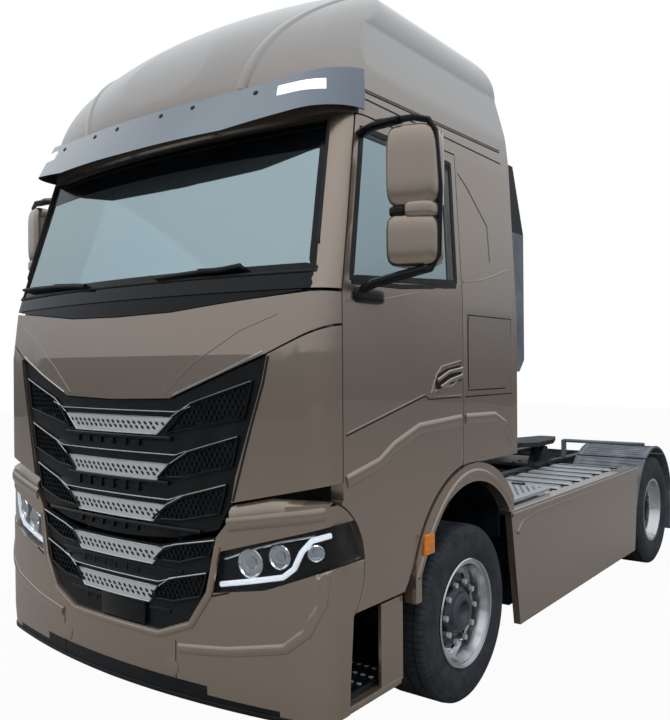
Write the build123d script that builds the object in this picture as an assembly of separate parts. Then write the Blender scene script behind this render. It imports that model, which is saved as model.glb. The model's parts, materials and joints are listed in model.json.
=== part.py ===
from build123d import *
from math import atan2, cos, hypot, pi, radians, sin, sqrt, tan
import os

os.makedirs("parts", exist_ok=True)

# A two-axle cab-over tractor unit with a high-roofed sleeper cab, in millimetres.
# X is the truck's left, Y runs to the rear and Z is up from the ground. While the pieces are drawn,
# y is counted from the front axle. Each piece is moved to the middle of the truck as it is written.

# Whole truck
wheelbase = 3800.0
front_overhang = 1490.0
rear_overhang = 950.0
half_width = 1250.0
middle_y = (wheelbase + rear_overhang - front_overhang) / 2

# Gaps between panels
panel_gap = 6.0
seat_gap = 0.3
sweep_gap = 12.0

# Wheels and tyres
front_tyre_r = 498.0
front_tyre_width = 380.0
rear_tyre_r = 508.0
rear_tyre_width = 312.0
tyre_outer_x = 1243.0
twin_gap = 38.0
rim_flange_r = 304.0
rim_well_r = 250.0
rim_wall = 16.0
hand_holes = 10
hand_hole_r = 26.0
hand_hole_ring = 202.0
nut_count = 10
nut_ring = 167.5
nut_r = 16.0
hub_r = 140.0

# Ladder frame
rail_outer_x = 392.0
rail_flange = 76.0
rail_wall = 8.0
rail_top = 955.0
rail_height = 290.0
rail_front = -1210.0
rail_bottom = rail_top - rail_height
frame_rear = wheelbase + rear_overhang

# Cab skin: each row is one level plan section.
# z, front middle y, radius of the bowed front, half width, corner radius, rear y
cab_levels = [
    (780.0, -1490.0, 5000.0, 1244.0, 170.0, 652.0),
    (1500.0, -1490.0, 5000.0, 1250.0, 170.0, 655.0),
    (1960.0, -1488.0, 5000.0, 1250.0, 160.0, 655.0),
    (2250.0, -1445.0, 5200.0, 1250.0, 150.0, 650.0),
    (3090.0, -1185.0, 5500.0, 1206.0, 140.0, 650.0),
]
roof_levels = [
    (3090.0, -1185.0, 5500.0, 1206.0, 140.0, 650.0),
    (3330.0, -1205.0, 4200.0, 1180.0, 180.0, 655.0),
    (3600.0, -1090.0, 3200.0, 1130.0, 240.0, 652.0),
    (3800.0, -880.0, 2600.0, 1080.0, 300.0, 640.0),
    (3990.0, -560.0, 2200.0, 1020.0, 340.0, 600.0),
]
cab_wall = 60.0
door_wall = 70.0
front_panel_wall = 40.0
roof_top = 3980.0
roof_crown = 60.0
roof_shoulder = (1110.0, 3600.0)
roof_edge_x = 880.0
floor_z = 1360.0
floor_wall = 50.0
roof_split_z = 3092.0
belt_z = 2240.0
back_wall_y = 590.0

# Cab tilt axis, and the round joint between what tilts and what stays
tilt_y = -1360.0
tilt_z = 990.0
tilt_joint_r = 328.0
tilt_joint_gap = 8.0

# Door
door_front = -1190.0
door_rear = -65.0
door_top = 3084.0
door_bottom = 780.0
door_bottom_rear = -680.0
door_edge_slope = tan(radians(9))
window_low_front = (-1106.0, 2316.0)
window_top_front = (-966.0, 3006.0)
window_top_rear = (-150.0, 3006.0)
window_low_rear = (-150.0, 2372.0)
glass_wall = 6.0

# Wheel arch
arch_r = 745.0
arch_band = 85.0
arch_center_z = 498.0
arch_low_z = 700.0


def box(x0, x1, y0, y1, z0, z1):
    block = Box(x1 - x0, y1 - y0, z1 - z0)
    return Pos((x0 + x1) / 2, (y0 + y1) / 2, (z0 + z1) / 2) * block


def prism_x(points, x0, x1):
    """An outline of (y, z) points, as thick as x0 to x1."""
    face = make_face(Polyline(*[(x0, y, z) for y, z in points], close=True))
    return extrude(face, amount=x1 - x0, dir=(1, 0, 0))


def prism_y(points, y0, y1):
    """An outline of (x, z) points, from y0 to y1."""
    face = make_face(Polyline(*[(x, y0, z) for x, z in points], close=True))
    return extrude(face, amount=y1 - y0, dir=(0, 1, 0))


def prism_z(points, z0, z1):
    """An outline of (x, y) points, from z0 to z1."""
    face = make_face(Polyline(*[(x, y, z0) for x, y in points], close=True))
    return extrude(face, amount=z1 - z0, dir=(0, 0, 1))


def rod(start, end, radius):
    """A round bar between two points."""
    axis = Vector(*end) - Vector(*start)
    place = Plane(origin=start, z_dir=axis)
    return place * Cylinder(radius, axis.length, align=(Align.CENTER, Align.CENTER, Align.MIN))


def turned_x(points, y, z):
    """A solid turned about a line along X at y, z from (x, radius) points."""
    face = make_face(Polyline(*[(x, y, z + r) for x, r in points], close=True))
    return revolve(face, Axis((0, y, z), (1, 0, 0)), 360)


def other_side(shape):
    return mirror(shape, about=Plane.YZ)


def solids_of(*shapes):
    found = []
    for shape in shapes:
        found += shape.solids()
    return found


def both(shape):
    return Compound(solids_of(shape, other_side(shape)))


def group(*shapes):
    return Compound(solids_of(*shapes))


def write(name, shape):
    """Moves a piece to the truck's own frame and writes it."""
    pieces = solids_of(shape)
    whole = pieces[0] if len(pieces) == 1 else Compound(pieces)
    export_step(Pos(0, -middle_y, 0) * whole, f"parts/{name}.step")


def plan_face(z, front, bow, half, corner, rear, inset=0.0):
    """A level cab section: bowed front, round front corners, straight sides and back."""
    front += inset
    bow -= inset
    half -= inset
    corner = max(corner - inset, 20.0)
    rear -= inset
    corner_x = half - corner
    corner_y = front + bow - sqrt((bow - corner) ** 2 - corner_x**2)
    lean = atan2(corner_x, front + bow - corner_y)
    join = (bow * sin(lean), front + bow - bow * cos(lean))
    turn = (lean + pi / 2) / 2
    bend = (corner_x + corner * sin(turn), corner_y - corner * cos(turn))
    edges = [
        ThreePointArc((-join[0], join[1], z), (0, front, z), (join[0], join[1], z)),
        ThreePointArc((join[0], join[1], z), (bend[0], bend[1], z), (half, corner_y, z)),
        Line((half, corner_y, z), (half, rear, z)),
        Line((half, rear, z), (-half, rear, z)),
        Line((-half, rear, z), (-half, corner_y, z)),
        ThreePointArc((-half, corner_y, z), (-bend[0], bend[1], z), (-join[0], join[1], z)),
    ]
    return Face(Wire(edges))


def cab_body(inset, low_cut=0.0):
    """The cab's whole outer form, or the same form inset by a wall."""
    lower = loft([plan_face(*row, inset=inset) for row in cab_levels], ruled=True)
    upper = loft([plan_face(*row, inset=inset) for row in roof_levels])
    shoulder_x = roof_shoulder[0] - inset
    top = roof_top - inset
    crown = [
        Line((-half_width, 0, 700), (half_width, 0, 700)),
        Line((half_width, 0, 700), (half_width, 0, 3090 - inset)),
        Line((half_width, 0, 3090 - inset), (shoulder_x, 0, roof_shoulder[1] - inset)),
        ThreePointArc(
            (shoulder_x, 0, roof_shoulder[1] - inset),
            (1045 - inset, 0, 3805 - inset),
            (roof_edge_x - inset, 0, top - roof_crown),
        ),
        ThreePointArc(
            (roof_edge_x - inset, 0, top - roof_crown), (0, 0, top), (-roof_edge_x + inset, 0, top - roof_crown)
        ),
        ThreePointArc(
            (-roof_edge_x + inset, 0, top - roof_crown),
            (-1045 + inset, 0, 3805 - inset),
            (-shoulder_x, 0, roof_shoulder[1] - inset),
        ),
        Line((-shoulder_x, 0, roof_shoulder[1] - inset), (-half_width, 0, 3090 - inset)),
        Line((-half_width, 0, 3090 - inset), (-half_width, 0, 700)),
    ]
    cross = Pos(0, -2000, 0) * extrude(Face(Wire(crown)), amount=4000, dir=(0, 1, 0))
    side = [
        Line((0, -1600, 700), (0, -1600, 3330 - inset)),
        Line((0, -1600, 3330 - inset), (0, -1205 + inset, 3330 - inset)),
        ThreePointArc(
            (0, -1205 + inset, 3330 - inset), (0, -930 + inset, 3760 - inset), (0, -250 + inset, top)
        ),
        Line((0, -250 + inset, top), (0, 330 - inset, top)),
        ThreePointArc((0, 330 - inset, top), (0, 560 - inset, 3880 - inset), (0, 652 - inset, 3640 - inset)),
        Line((0, 652 - inset, 3640 - inset), (0, 700, 3500)),
        Line((0, 700, 3500), (0, 700, 700)),
        Line((0, 700, 700), (0, -1600, 700)),
    ]
    along = Pos(-1500, 0, 0) * extrude(Face(Wire(side)), amount=3000, dir=(1, 0, 0))
    return (lower + upper) & cross & along


def arc_region(start, middle, end, floor):
    """A face at x = 0: under an arc of (y, z) points, down to a floor level."""
    edges = [
        ThreePointArc((0, *start), (0, *middle), (0, *end)),
        Line((0, *end), (0, end[0], floor)),
        Line((0, end[0], floor), (0, start[0], floor)),
        Line((0, start[0], floor), (0, *start)),
    ]
    return Face(Wire(edges))


def under_arc(arc, x0, x1, floor=arch_low_z, grow=0.0):
    """The space under an arch, between two x values, grown outwards by a thickness."""
    (y0, z0), (y1, z1), (y2, z2) = arc
    face = arc_region((y0 - grow, z0), (y1, z1 + grow), (y2 + grow, z2), floor)
    return Pos(x0, 0, 0) * extrude(face, amount=x1 - x0, dir=(1, 0, 0))


# Cab forms, each inset from the skin by a wall
skin = cab_body(0)
in_wall = cab_body(cab_wall)
in_door = cab_body(door_wall)
in_panel = cab_body(front_panel_wall)
in_front = cab_body(front_panel_wall + seat_gap)
in_front_wall = cab_body(front_panel_wall + cab_wall)
shell = skin - in_wall

front_joint_y = door_front - panel_gap
pillar_top_y = -1000.0
side_cut_z = 1345.0
edge_depth = 250.0
rear_lean = edge_depth * door_edge_slope

# Wheel arch outlines as (y, z) of start, top and end
arch_outer = ((-601.0, 837.0), (-100.0, 1330.0), (571.0, 1087.0))
arch_inner = ((-546.0, 816.0), (-20.0, 1240.0), (503.0, 1017.0))

# Door
door_outline = [
    (door_front, 1281),
    (door_front, belt_z - 10),
    (pillar_top_y, door_top),
    (door_rear + 100, door_top),
    (door_rear + 100, 1200),
    (-380, 1200),
    (-640, 830),
    (door_bottom_rear, door_bottom),
    (-1000, door_bottom),
    (-1000, 1200),
]
door_slab = prism_x(door_outline, 900, 1300)
joint_disc = Pos(1100, tilt_y, tilt_z) * Rot(0, 90, 0) * Cylinder(tilt_joint_r + tilt_joint_gap, 500)
door_low = box(900, 1300, -1200, -900, door_bottom, 1281 + 20)
door_rear_wedge = [
    (1300, -1300),
    (1300, door_rear - panel_gap / 2 + 50 * door_edge_slope),
    (900, door_rear - panel_gap / 2 - 350 * door_edge_slope),
    (900, -1300),
]
arch_sweep = under_arc(arch_outer, 900, 1400, floor=500, grow=sweep_gap)
door_area = (door_slab + door_low - joint_disc - arch_sweep) & prism_z(door_rear_wedge, 700, 3200)
window_cut = prism_x([window_low_front, window_top_front, window_top_rear, window_low_rear], 900, 1300)
door_left = (skin - in_door) & (door_area - window_cut)
pane_skin = cab_body(22)
pane_back = cab_body(22 + glass_wall)
door_glass = (pane_skin - pane_back) & window_cut
write("door_left", door_left)
write("door_right", other_side(door_left))
write("door_glass_left", door_glass)
write("door_glass_right", other_side(door_glass))

# Cab sides behind the doors, with a locker hatch in each
hatch = [(-5, 1765), (-5, 2185), (600 - 35, 2185), (600 - 35, 1765)]
hatch_hole = [(y + (panel_gap if y > 0 else -panel_gap), z + (panel_gap if z > 2000 else -8)) for y, z in hatch]
hatch_lip = [(y + (-25 if y > 0 else 25), z + (-25 if z > 2000 else 25)) for y, z in hatch]
side_wedge = [
    (1300, 700),
    (1300, door_rear + panel_gap / 2 + 50 * door_edge_slope),
    (900, door_rear + panel_gap / 2 - 350 * door_edge_slope),
    (900, 700),
]
side_area = prism_z(side_wedge, side_cut_z, roof_split_z) & box(0, 1300, -400, back_wall_y, 1000, 3200)
side_left = shell & (side_area - under_arc(arch_outer, 900, 1400, floor=500, grow=panel_gap))
hatch_wall = 36.0
hatch_seat_x = half_width - hatch_wall - seat_gap
side_left = side_left - prism_x(hatch_hole, hatch_seat_x, 1300) - prism_x(hatch_lip, 1000, 1300)
hatch_left = prism_x(hatch, half_width - hatch_wall, 1300) & skin
write("cab_sides", both(side_left))
write("locker_door_left", hatch_left)
write("locker_door_right", other_side(hatch_left))

# Roof, back wall and floor
cab_roof = shell & box(-1400, 1400, -1600, 800, roof_split_z, 4100)
write("cab_roof", cab_roof)
write("cab_back", shell & box(-1400, 1400, back_wall_y, 800, side_cut_z, roof_split_z))
floor_front = in_front_wall & box(-1140, 1140, -1500, -60, floor_z, floor_z + floor_wall)
floor_rear = in_wall & box(-1300, 1300, -60, back_wall_y, floor_z, floor_z + floor_wall)
cab_floor = floor_front + floor_rear
ear_x0 = 325.0
ear_x1 = 358.0
ear_profile = [
    (tilt_y + 84, floor_z),
    (-1240, floor_z),
    (tilt_y + 36, tilt_z - 10),
    (tilt_y, tilt_z - 10),
    (tilt_y + 14, tilt_z + 34),
]
pin_r = 20.0
pin_bore = Pos(350, tilt_y, tilt_z) * Rot(0, 90, 0) * Cylinder(pin_r + seat_gap, 200)
ear = prism_x(ear_profile, ear_x0, ear_x1)
ear += Pos((ear_x0 + ear_x1) / 2, tilt_y, tilt_z) * Rot(0, 90, 0) * Cylinder(40, ear_x1 - ear_x0)
ear -= pin_bore
write("cab_floor", cab_floor + ear + other_side(ear))

# Front wall, pillars and windscreen frame
cowl_z = 2160.0
pillar_low_z = belt_z + 10
front_wall = (in_front - in_front_wall) & box(-1240, 1240, -1600, front_joint_y, floor_z + floor_wall, belt_z)
pillar_side = [
    (-1600, pillar_low_z),
    (front_joint_y, pillar_low_z),
    (pillar_top_y - panel_gap, roof_split_z),
    (-1600, roof_split_z),
]
screen = [(-1172, 2332), (1172, 2332), (1098, 3058), (-1098, 3058)]
pillars = shell & prism_x(pillar_side, -1400, 1400)
pillars -= prism_y(screen, -1700, -900)
hinge_blocks = []
for z in (1480, 2000):
    hinge_blocks.append(box(1120, half_width - door_wall - seat_gap, front_joint_y - 30, -1140, z, z + 90))
cab_front = front_wall + pillars
for block in hinge_blocks:
    cab_front += block + other_side(block)
write("cab_front", cab_front)
screen_skin = cab_body(14)
screen_back = cab_body(14 + glass_wall)
write("windscreen", (screen_skin - screen_back) & prism_y(screen, -1700, -900))

# Front panels: the lifting flap with the upper grille, and the fixed corner panels
front_band = box(-1400, 1400, -1600, front_joint_y, 1000, 2400)
panel_skin = (skin - in_panel) & front_band
flap_x = 1300.0
flap_half = [
    (0, 1745),
    (416, 1755),
    (966, 1962),
    (flap_x, 2118),
    (flap_x, belt_z - panel_gap),
    (1170, belt_z - panel_gap),
    (811, 2206),
    (400, cowl_z + 8),
    (0, cowl_z),
]


def whole_outline(half_outline):
    """A symmetric (x, z) outline from its right half, bottom middle to top middle."""
    inner = [(x, z) for x, z in half_outline if x > 0]
    ends = [(x, z) for x, z in half_outline if x == 0]
    mirrored = [(-x, z) for x, z in reversed(inner)]
    return [ends[0]] + inner + [ends[-1]] + mirrored


flap_sweep = Pos(0, tilt_y, tilt_z) * Rot(0, 90, 0) * Cylinder(137, 2600)
flap_edge_wall = 8.0
flap_thick_top = 2080.0
flap_rim = (skin - cab_body(flap_edge_wall)) & box(-1400, 1400, -1600, front_joint_y, flap_thick_top, 2400)
flap_form = (panel_skin & box(-1400, 1400, -1600, -1000, 1600, flap_thick_top)) + flap_rim
front_flap = flap_form & prism_y(whole_outline(flap_half), -1700, -1000)
write("front_flap", front_flap)

corner_panel = [
    (786, 1283),
    (808, 1394),
    (888, 1643),
    (948, 1830),
    (976, 1958),
    (flap_x, 2106),
    (flap_x, 1392),
    (1250, 1384),
]
corner_left = panel_skin & prism_y(corner_panel, -1700, -1000)
write("corner_panels", both(corner_left))

grille_recess = 14.0
grille_wall = 26.0
grille_skin = cab_body(grille_recess) - cab_body(grille_recess + grille_wall)
upper_grille_half = [
    (0, 1062),
    (331, 1062),
    (701, 1150),
    (776, 1277),
    (799, 1394),
    (879, 1643),
    (939, 1830),
    (962, 1950),
    (416, 1748),
    (0, 1738),
]
upper_grille = grille_skin & prism_y(whole_outline(upper_grille_half), -1700, -1000)
write("grille_upper", upper_grille - flap_sweep)

# Silver centre plates of the grille: top z, half width at top, half width at bottom
plate_rows = [(1664.0, 430.0, 328.0), (1439.0, 419.0, 322.0), (1240.0, 392.0, 300.0)]
low_plate_rows = [(1030.0, 367.0, 290.0), (839.0, 335.0, 262.0)]
plate_height = 88.0
plate_skin = cab_body(grille_recess - 8) - cab_body(grille_recess)


def plates(rows):
    found = []
    for top_z, top_half, low_half in rows:
        low_z = top_z - plate_height
        outline = [(-low_half, low_z), (low_half, low_z), (top_half, top_z), (-top_half, top_z)]
        found.append(plate_skin & prism_y(outline, -1700, -1000))
    return group(*found)


write("grille_plates_upper", plates(plate_rows))

# Bumper, lower grille and lamps
nose_levels = [
    (280.0, -1480.0, 5000.0, 1236.0, 190.0, -600.0),
    (460.0, -1490.0, 5000.0, 1244.0, 180.0, -600.0),
    (700.0, -1490.0, 5000.0, 1247.0, 175.0, -600.0),
    (1400.0, -1490.0, 5000.0, 1250.0, 170.0, -600.0),
]


def nose(inset):
    return loft([plan_face(*row, inset=inset) for row in nose_levels], ruled=True)


nose_skin = nose(0)
nose_back = nose(50)
lamp_half = [(646, 853), (702, 1049), (1200, 1190), (1300, 1222), (1300, 1030), (1205, 1000), (960, 905)]
grille_opening = [(338, 632), (534, 706), (640, 860), (700, 1118)]
lower_grille_half = [(0, 632)] + grille_opening + [(331, 1040), (0, 1040)]
bumper_half = [
    (0, 330),
    (1300, 330),
    (1300, 1300),
    (1250, 1291),
    (782, 1212),
    *reversed(grille_opening),
    (0, 632),
]
rear_disc = Pos(0, tilt_y, tilt_z) * Rot(0, 90, 0) * Cylinder(tilt_joint_r, 2600)
low_rear = prism_x([(-1600, 250), (-1139, 250), (-1139, 470), (-1117, 770), (-1600, 770)], -1300, 1300)
nose_area = rear_disc + low_rear
bumper = (nose_skin - nose_back) & prism_y(whole_outline(bumper_half), -1700, -900) & nose_area
lamp_cut = prism_y(lamp_half, -1700, -900)
bumper = bumper - lamp_cut - other_side(lamp_cut)
arm_profile = [(-1445, 560), (-1445, 615), (-1240, 745), (rail_front, 745), (rail_front, rail_bottom), (-1240, 665)]
bumper_arm = prism_x(arm_profile, rail_outer_x - 26, rail_outer_x)
write("bumper", bumper + bumper_arm + other_side(bumper_arm))
lamp_left = (nose(6) - nose(46)) & lamp_cut & nose_area
write("headlamps", both(lamp_left))
low_skin = nose(18) - nose(18 + grille_wall)
lower_grille = low_skin & prism_y(whole_outline(lower_grille_half), -1700, -1300)
write("grille_lower", lower_grille)
low_plate_skin = nose(18 - 8) - nose(18)
low_plates = []
for top_z, top_half, low_half in low_plate_rows:
    low_z = top_z - plate_height
    outline = [(-low_half, low_z), (low_half, low_z), (top_half, top_z), (-top_half, top_z)]
    low_plates.append(low_plate_skin & prism_y(outline, -1700, -1000))
write("grille_plates_lower", group(*low_plates))

# Sun visor above the windscreen
visor_levels = [(2990.0, -1420.0, 4200.0, 1238.0, 280.0, -700.0), (3340.0, -1240.0, 4200.0, 1212.0, 280.0, -700.0)]
visor_wall = 8.0
visor_outer = loft([plan_face(*row) for row in visor_levels], ruled=True)
visor_inner = loft([plan_face(*row, inset=visor_wall) for row in visor_levels], ruled=True)
visor_half = [(0, 3018), (650, 3026), (1090, 3088), (1300, 3112), (1300, 3322), (768, 3250), (487, 3236), (0, 3232)]
visor_reach = prism_x([(-1600, 2900), (-1010, 2900), (-930, 3400), (-1600, 3400)], -1300, 1300)
visor = (visor_outer - visor_inner) & prism_y(whole_outline(visor_half), -1700, -700) & visor_reach
for x in (-900, -350, 350, 900):
    stay = box(x - 12, x + 12, -1400, -1000, 3170, 3200) & visor_inner
    visor += stay - skin
write("sun_visor", visor)

# Ladder frame
rails = []
for side in (1, -1):
    web_x = side * (rail_outer_x - rail_wall / 2)
    flange_x = side * (rail_outer_x - rail_flange / 2)
    web = box(web_x - rail_wall / 2, web_x + rail_wall / 2, rail_front, frame_rear, rail_bottom, rail_top)
    low = box(flange_x - rail_flange / 2, flange_x + rail_flange / 2, rail_front, frame_rear,
              rail_bottom, rail_bottom + rail_wall)
    top = box(flange_x - rail_flange / 2, flange_x + rail_flange / 2, rail_front, frame_rear,
              rail_top - rail_wall, rail_top)
    rails.append(web + low + top)
frame = rails[0] + rails[1]
cross_inner = rail_outer_x - rail_wall
for y in (1480, 2050, 2750, 3350, 4250, frame_rear - 12):
    frame += box(-cross_inner, cross_inner, y, y + 12, rail_bottom + 110, rail_top - 30)
frame += box(-cross_inner, cross_inner, rail_front, rail_front + 60, rail_bottom, rail_bottom + 80)
tow_bore_r = 25.5
tow_wall = 60.0
tow_z = rail_top - 110
frame += box(-90, 90, frame_rear - tow_wall, frame_rear - 12, tow_z - 80, tow_z + 80)
tow_bore = Pos(0, frame_rear - tow_wall / 2, tow_z) * Rot(90, 0, 0) * Cylinder(tow_bore_r, 200)
frame -= tow_bore
bracket_x0 = ear_x1 + 8
bracket_profile = [
    (rail_front + 60, rail_top),
    (tilt_y, tilt_z + 46),
    (tilt_y - 44, tilt_z),
    (tilt_y - 20, tilt_z - 46),
    (rail_front + 60, rail_bottom + 60),
]
bracket = prism_x(bracket_profile, bracket_x0, bracket_x0 + 26)
bracket += rod((ear_x0 - 12, tilt_y, tilt_z), (bracket_x0 + 20, tilt_y, tilt_z), pin_r)
frame = frame + bracket + other_side(bracket)
write("ladder_frame", frame)

# Engine with its gearbox, and the radiator in front
engine_half = rail_outer_x - rail_flange - 16
engine = box(-engine_half, engine_half, -1000, 240, 560, 1240)
engine += box(-230, 230, 240, 1150, 560, 900)
mounts = box(engine_half, rail_outer_x - rail_wall, -420, -300, rail_bottom + rail_wall, 760)
radiator = box(-engine_half, engine_half, rail_front + 10, -1030, rail_bottom + 80, 1300)
radiator += box(-180, 180, -1030, -1000, 800, 1150)
write("engine", engine + radiator + mounts + other_side(mounts))

# Front axle beam, springs and steering knuckles
king_x = 945.0
king_r = 24.0
axle_z = front_tyre_r
beam_half = king_x
beam_points = [
    (0, 372), (560, 372), (700, axle_z - 52), (king_x + 10, axle_z - 52),
    (king_x + 10, axle_z + 52), (640, axle_z + 42), (540, 462), (0, 462),
]
beam_face = [(x, z) for x, z in beam_points] + [(-x, z) for x, z in reversed(beam_points) if x > 0]
beam = prism_y(beam_face, -52, 52)
fork_clear = 6.0
king_eye = Pos(king_x, 0, axle_z) * Cylinder(46, 104)
beam += king_eye + other_side(king_eye)
king_pin = Pos(king_x, 0, axle_z) * Cylinder(king_r, 250)
beam += king_pin + other_side(king_pin)
spring_x = 430.0
spring_half_width = 40.0
spring_seat = box(spring_x - 52, spring_x + 52, -60, 60, 462, 498)
beam += spring_seat + other_side(spring_seat)
write("front_axle", beam)
leaf_rows = [(498.0, 860.0), (530.0, 860.0)]
spring = box(spring_x - 52, spring_x + 52, -70, 70, 498, 562)
for low_z, reach in leaf_rows:
    leaf = make_face(
        Wire([
            ThreePointArc((spring_x, -reach, low_z + 62), (spring_x, 0, low_z), (spring_x, reach, low_z + 62)),
            Line((spring_x, reach, low_z + 62), (spring_x, reach, low_z + 82)),
            ThreePointArc((spring_x, reach, low_z + 82), (spring_x, 0, low_z + 26), (spring_x, -reach, low_z + 82)),
            Line((spring_x, -reach, low_z + 82), (spring_x, -reach, low_z + 62)),
        ])
    )
    spring += Pos(-spring_half_width, 0, 0) * extrude(leaf, amount=2 * spring_half_width, dir=(1, 0, 0))
for y in (-840, 840):
    hanger = box(rail_outer_x, rail_outer_x + 18, y - 60, y + 60, 560, 860)
    hanger += box(rail_outer_x, spring_x + spring_half_width + 10, y - 30, y + 30, 610, 660)
    spring += hanger
damper = rod((rail_outer_x + 40, -300, 860), (spring_x + 90, -80, 520), 28)
spring += damper + box(rail_outer_x, rail_outer_x + 50, -330, -270, 820, 880)
spring += box(spring_x, spring_x + 110, -90, -50, 505, 545)
write("front_springs", both(spring - beam))

knuckle = Pos(king_x, 0, axle_z + 80) * Cylinder(44, 40) + Pos(king_x, 0, axle_z - 80) * Cylinder(44, 40)
knuckle += box(king_x + 60, king_x + 112, -70, 70, axle_z - 100, axle_z + 100)
knuckle += box(king_x, king_x + 100, -40, 40, axle_z + 60, axle_z + 100)
knuckle += box(king_x, king_x + 100, -40, 40, axle_z - 100, axle_z - 60)
hub_seat_r = 46.0
stub_end_x = 1165.0
knuckle += rod((king_x + 80, 0, axle_z), (stub_end_x, 0, axle_z), hub_seat_r)
knuckle -= Pos(king_x, 0, axle_z) * Cylinder(king_r + seat_gap, 400)
knuckle -= Pos(king_x, 0, axle_z) * Cylinder(46 + fork_clear, 104 + 2 * fork_clear)
write("knuckle_left", knuckle)
write("knuckle_right", other_side(knuckle))

# Front wheels: x runs outwards along the axle
front_mid_x = tyre_outer_x - front_tyre_width / 2


def tyre(mid_x, width, radius, y):
    """A tyre with bulging walls, rounded shoulders and a bore that fits the rim."""
    half = width / 2
    bead = half - 38
    shoulder = 46.0
    wall_r = rim_flange_r - 8
    edges = [
        Line((mid_x - bead, y, radius + wall_r), (mid_x + bead, y, radius + wall_r)),
        ThreePointArc(
            (mid_x + bead, y, radius + wall_r),
            (mid_x + half, y, radius + wall_r + (radius - wall_r) * 0.45),
            (mid_x + half - 14, y, radius + radius - shoulder),
        ),
        ThreePointArc(
            (mid_x + half - 14, y, radius + radius - shoulder),
            (mid_x + half - 26, y, radius + radius - 12),
            (mid_x + half - 60, y, radius + radius - 3),
        ),
        ThreePointArc(
            (mid_x + half - 60, y, radius + radius - 3),
            (mid_x, y, radius + radius),
            (mid_x - half + 60, y, radius + radius - 3),
        ),
        ThreePointArc(
            (mid_x - half + 60, y, radius + radius - 3),
            (mid_x - half + 26, y, radius + radius - 12),
            (mid_x - half + 14, y, radius + radius - shoulder),
        ),
        ThreePointArc(
            (mid_x - half + 14, y, radius + radius - shoulder),
            (mid_x - half, y, radius + wall_r + (radius - wall_r) * 0.45),
            (mid_x - bead, y, radius + wall_r),
        ),
    ]
    return revolve(Face(Wire(edges)), Axis((0, y, radius), (1, 0, 0)), 360)


def rim_barrel(mid_x, width, y, z):
    """The turned barrel: two flanges, bead seats and a well."""
    half = width / 2 - 30
    bead_r = rim_flange_r - 8
    points = [
        (mid_x - half - 8, bead_r), (mid_x - half - 8, rim_flange_r - 44),
        (mid_x - half + 60, rim_well_r + 10), (mid_x - 40, rim_well_r - rim_wall), (mid_x + 40, rim_well_r - rim_wall),
        (mid_x + half - 40, rim_flange_r - 46), (mid_x + half + 8, rim_flange_r - 30),
        (mid_x + half + 8, bead_r),
    ]
    return turned_x(points, y, z)


def wheel_disc(points, y, z, face_x):
    """The wheel's disc with its ring of hand holes."""
    disc = turned_x(points, y, z)
    for n in range(hand_holes):
        angle = radians(360 / hand_holes * (n + 0.5))
        hole = Pos(face_x, y + hand_hole_ring * cos(angle), z + hand_hole_ring * sin(angle))
        disc -= hole * Rot(0, 90, 0) * Cylinder(hand_hole_r, 240)
    return disc


def nut_circle(y, z, x0, x1):
    nuts = []
    for n in range(nut_count):
        angle = radians(360 / nut_count * n)
        place = (y + nut_ring * cos(angle), z + nut_ring * sin(angle))
        nuts.append(rod((x0, place[0], place[1]), (x1, place[0], place[1]), nut_r))
    return nuts


front_tyre = tyre(front_mid_x, front_tyre_width, front_tyre_r, 0)
write("front_tyre_left", front_tyre)
write("front_tyre_right", other_side(front_tyre))
disc_x = front_mid_x + 92
front_rim = rim_barrel(front_mid_x, front_tyre_width, 0, axle_z)
disc_points = [
    (disc_x - 22, 142), (disc_x - 22, 190), (disc_x - 70, rim_well_r - 12), (disc_x - 50, rim_well_r + 6),
    (disc_x - 26, rim_well_r + 2), (disc_x, 196), (disc_x, 142),
]
front_rim += wheel_disc(disc_points, 0, axle_z, disc_x)
hub_points = [
    (king_x + 122, hub_seat_r + seat_gap), (king_x + 122, 150), (disc_x - 60, 150), (disc_x - 60, 190),
    (disc_x - 22, 190), (disc_x - 22, 142), (disc_x + 24, 138), (disc_x + 30, 112), (disc_x + 62, 104),
    (disc_x + 66, 60), (stub_end_x + 8, 60), (stub_end_x + 8, 20), (stub_end_x + 4, 20), (stub_end_x + 4, hub_seat_r + seat_gap),
]
front_hub = turned_x(hub_points, 0, axle_z)
for nut in nut_circle(0, axle_z, disc_x - 30, disc_x + 34):
    front_hub += nut
front_rim += front_hub
write("front_rim_left", front_rim)
write("front_rim_right", other_side(front_rim))

# Rear axle, its springs and the twin wheels
rear_y = wheelbase
rear_z = rear_tyre_r
outer_mid_x = tyre_outer_x - rear_tyre_width / 2
inner_mid_x = outer_mid_x - rear_tyre_width - twin_gap
rear_outer = tyre(outer_mid_x, rear_tyre_width, rear_tyre_r, rear_y)
rear_inner = tyre(inner_mid_x, rear_tyre_width, rear_tyre_r, rear_y)
write("rear_tyres_left", group(rear_outer, rear_inner))
write("rear_tyres_right", other_side(group(rear_outer, rear_inner)))
mount_x = (outer_mid_x + inner_mid_x) / 2
rear_rim = rim_barrel(outer_mid_x, rear_tyre_width, rear_y, rear_z)
rear_rim += rim_barrel(inner_mid_x, rear_tyre_width, rear_y, rear_z)
outer_disc = [
    (mount_x, 142), (mount_x, 200), (mount_x + 60, rim_well_r - 10), (outer_mid_x - 40, rim_well_r + 2),
    (outer_mid_x - 10, rim_well_r - 8), (mount_x + 84, 228), (mount_x + 24, 190), (mount_x + 24, 142),
]
rear_rim += wheel_disc(outer_disc, rear_y, rear_z, mount_x + 60)
inner_disc = [(2 * mount_x - x, r) for x, r in outer_disc]
rear_rim += wheel_disc(inner_disc, rear_y, rear_z, mount_x - 60)
hub_end_x = mount_x + 175
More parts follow.
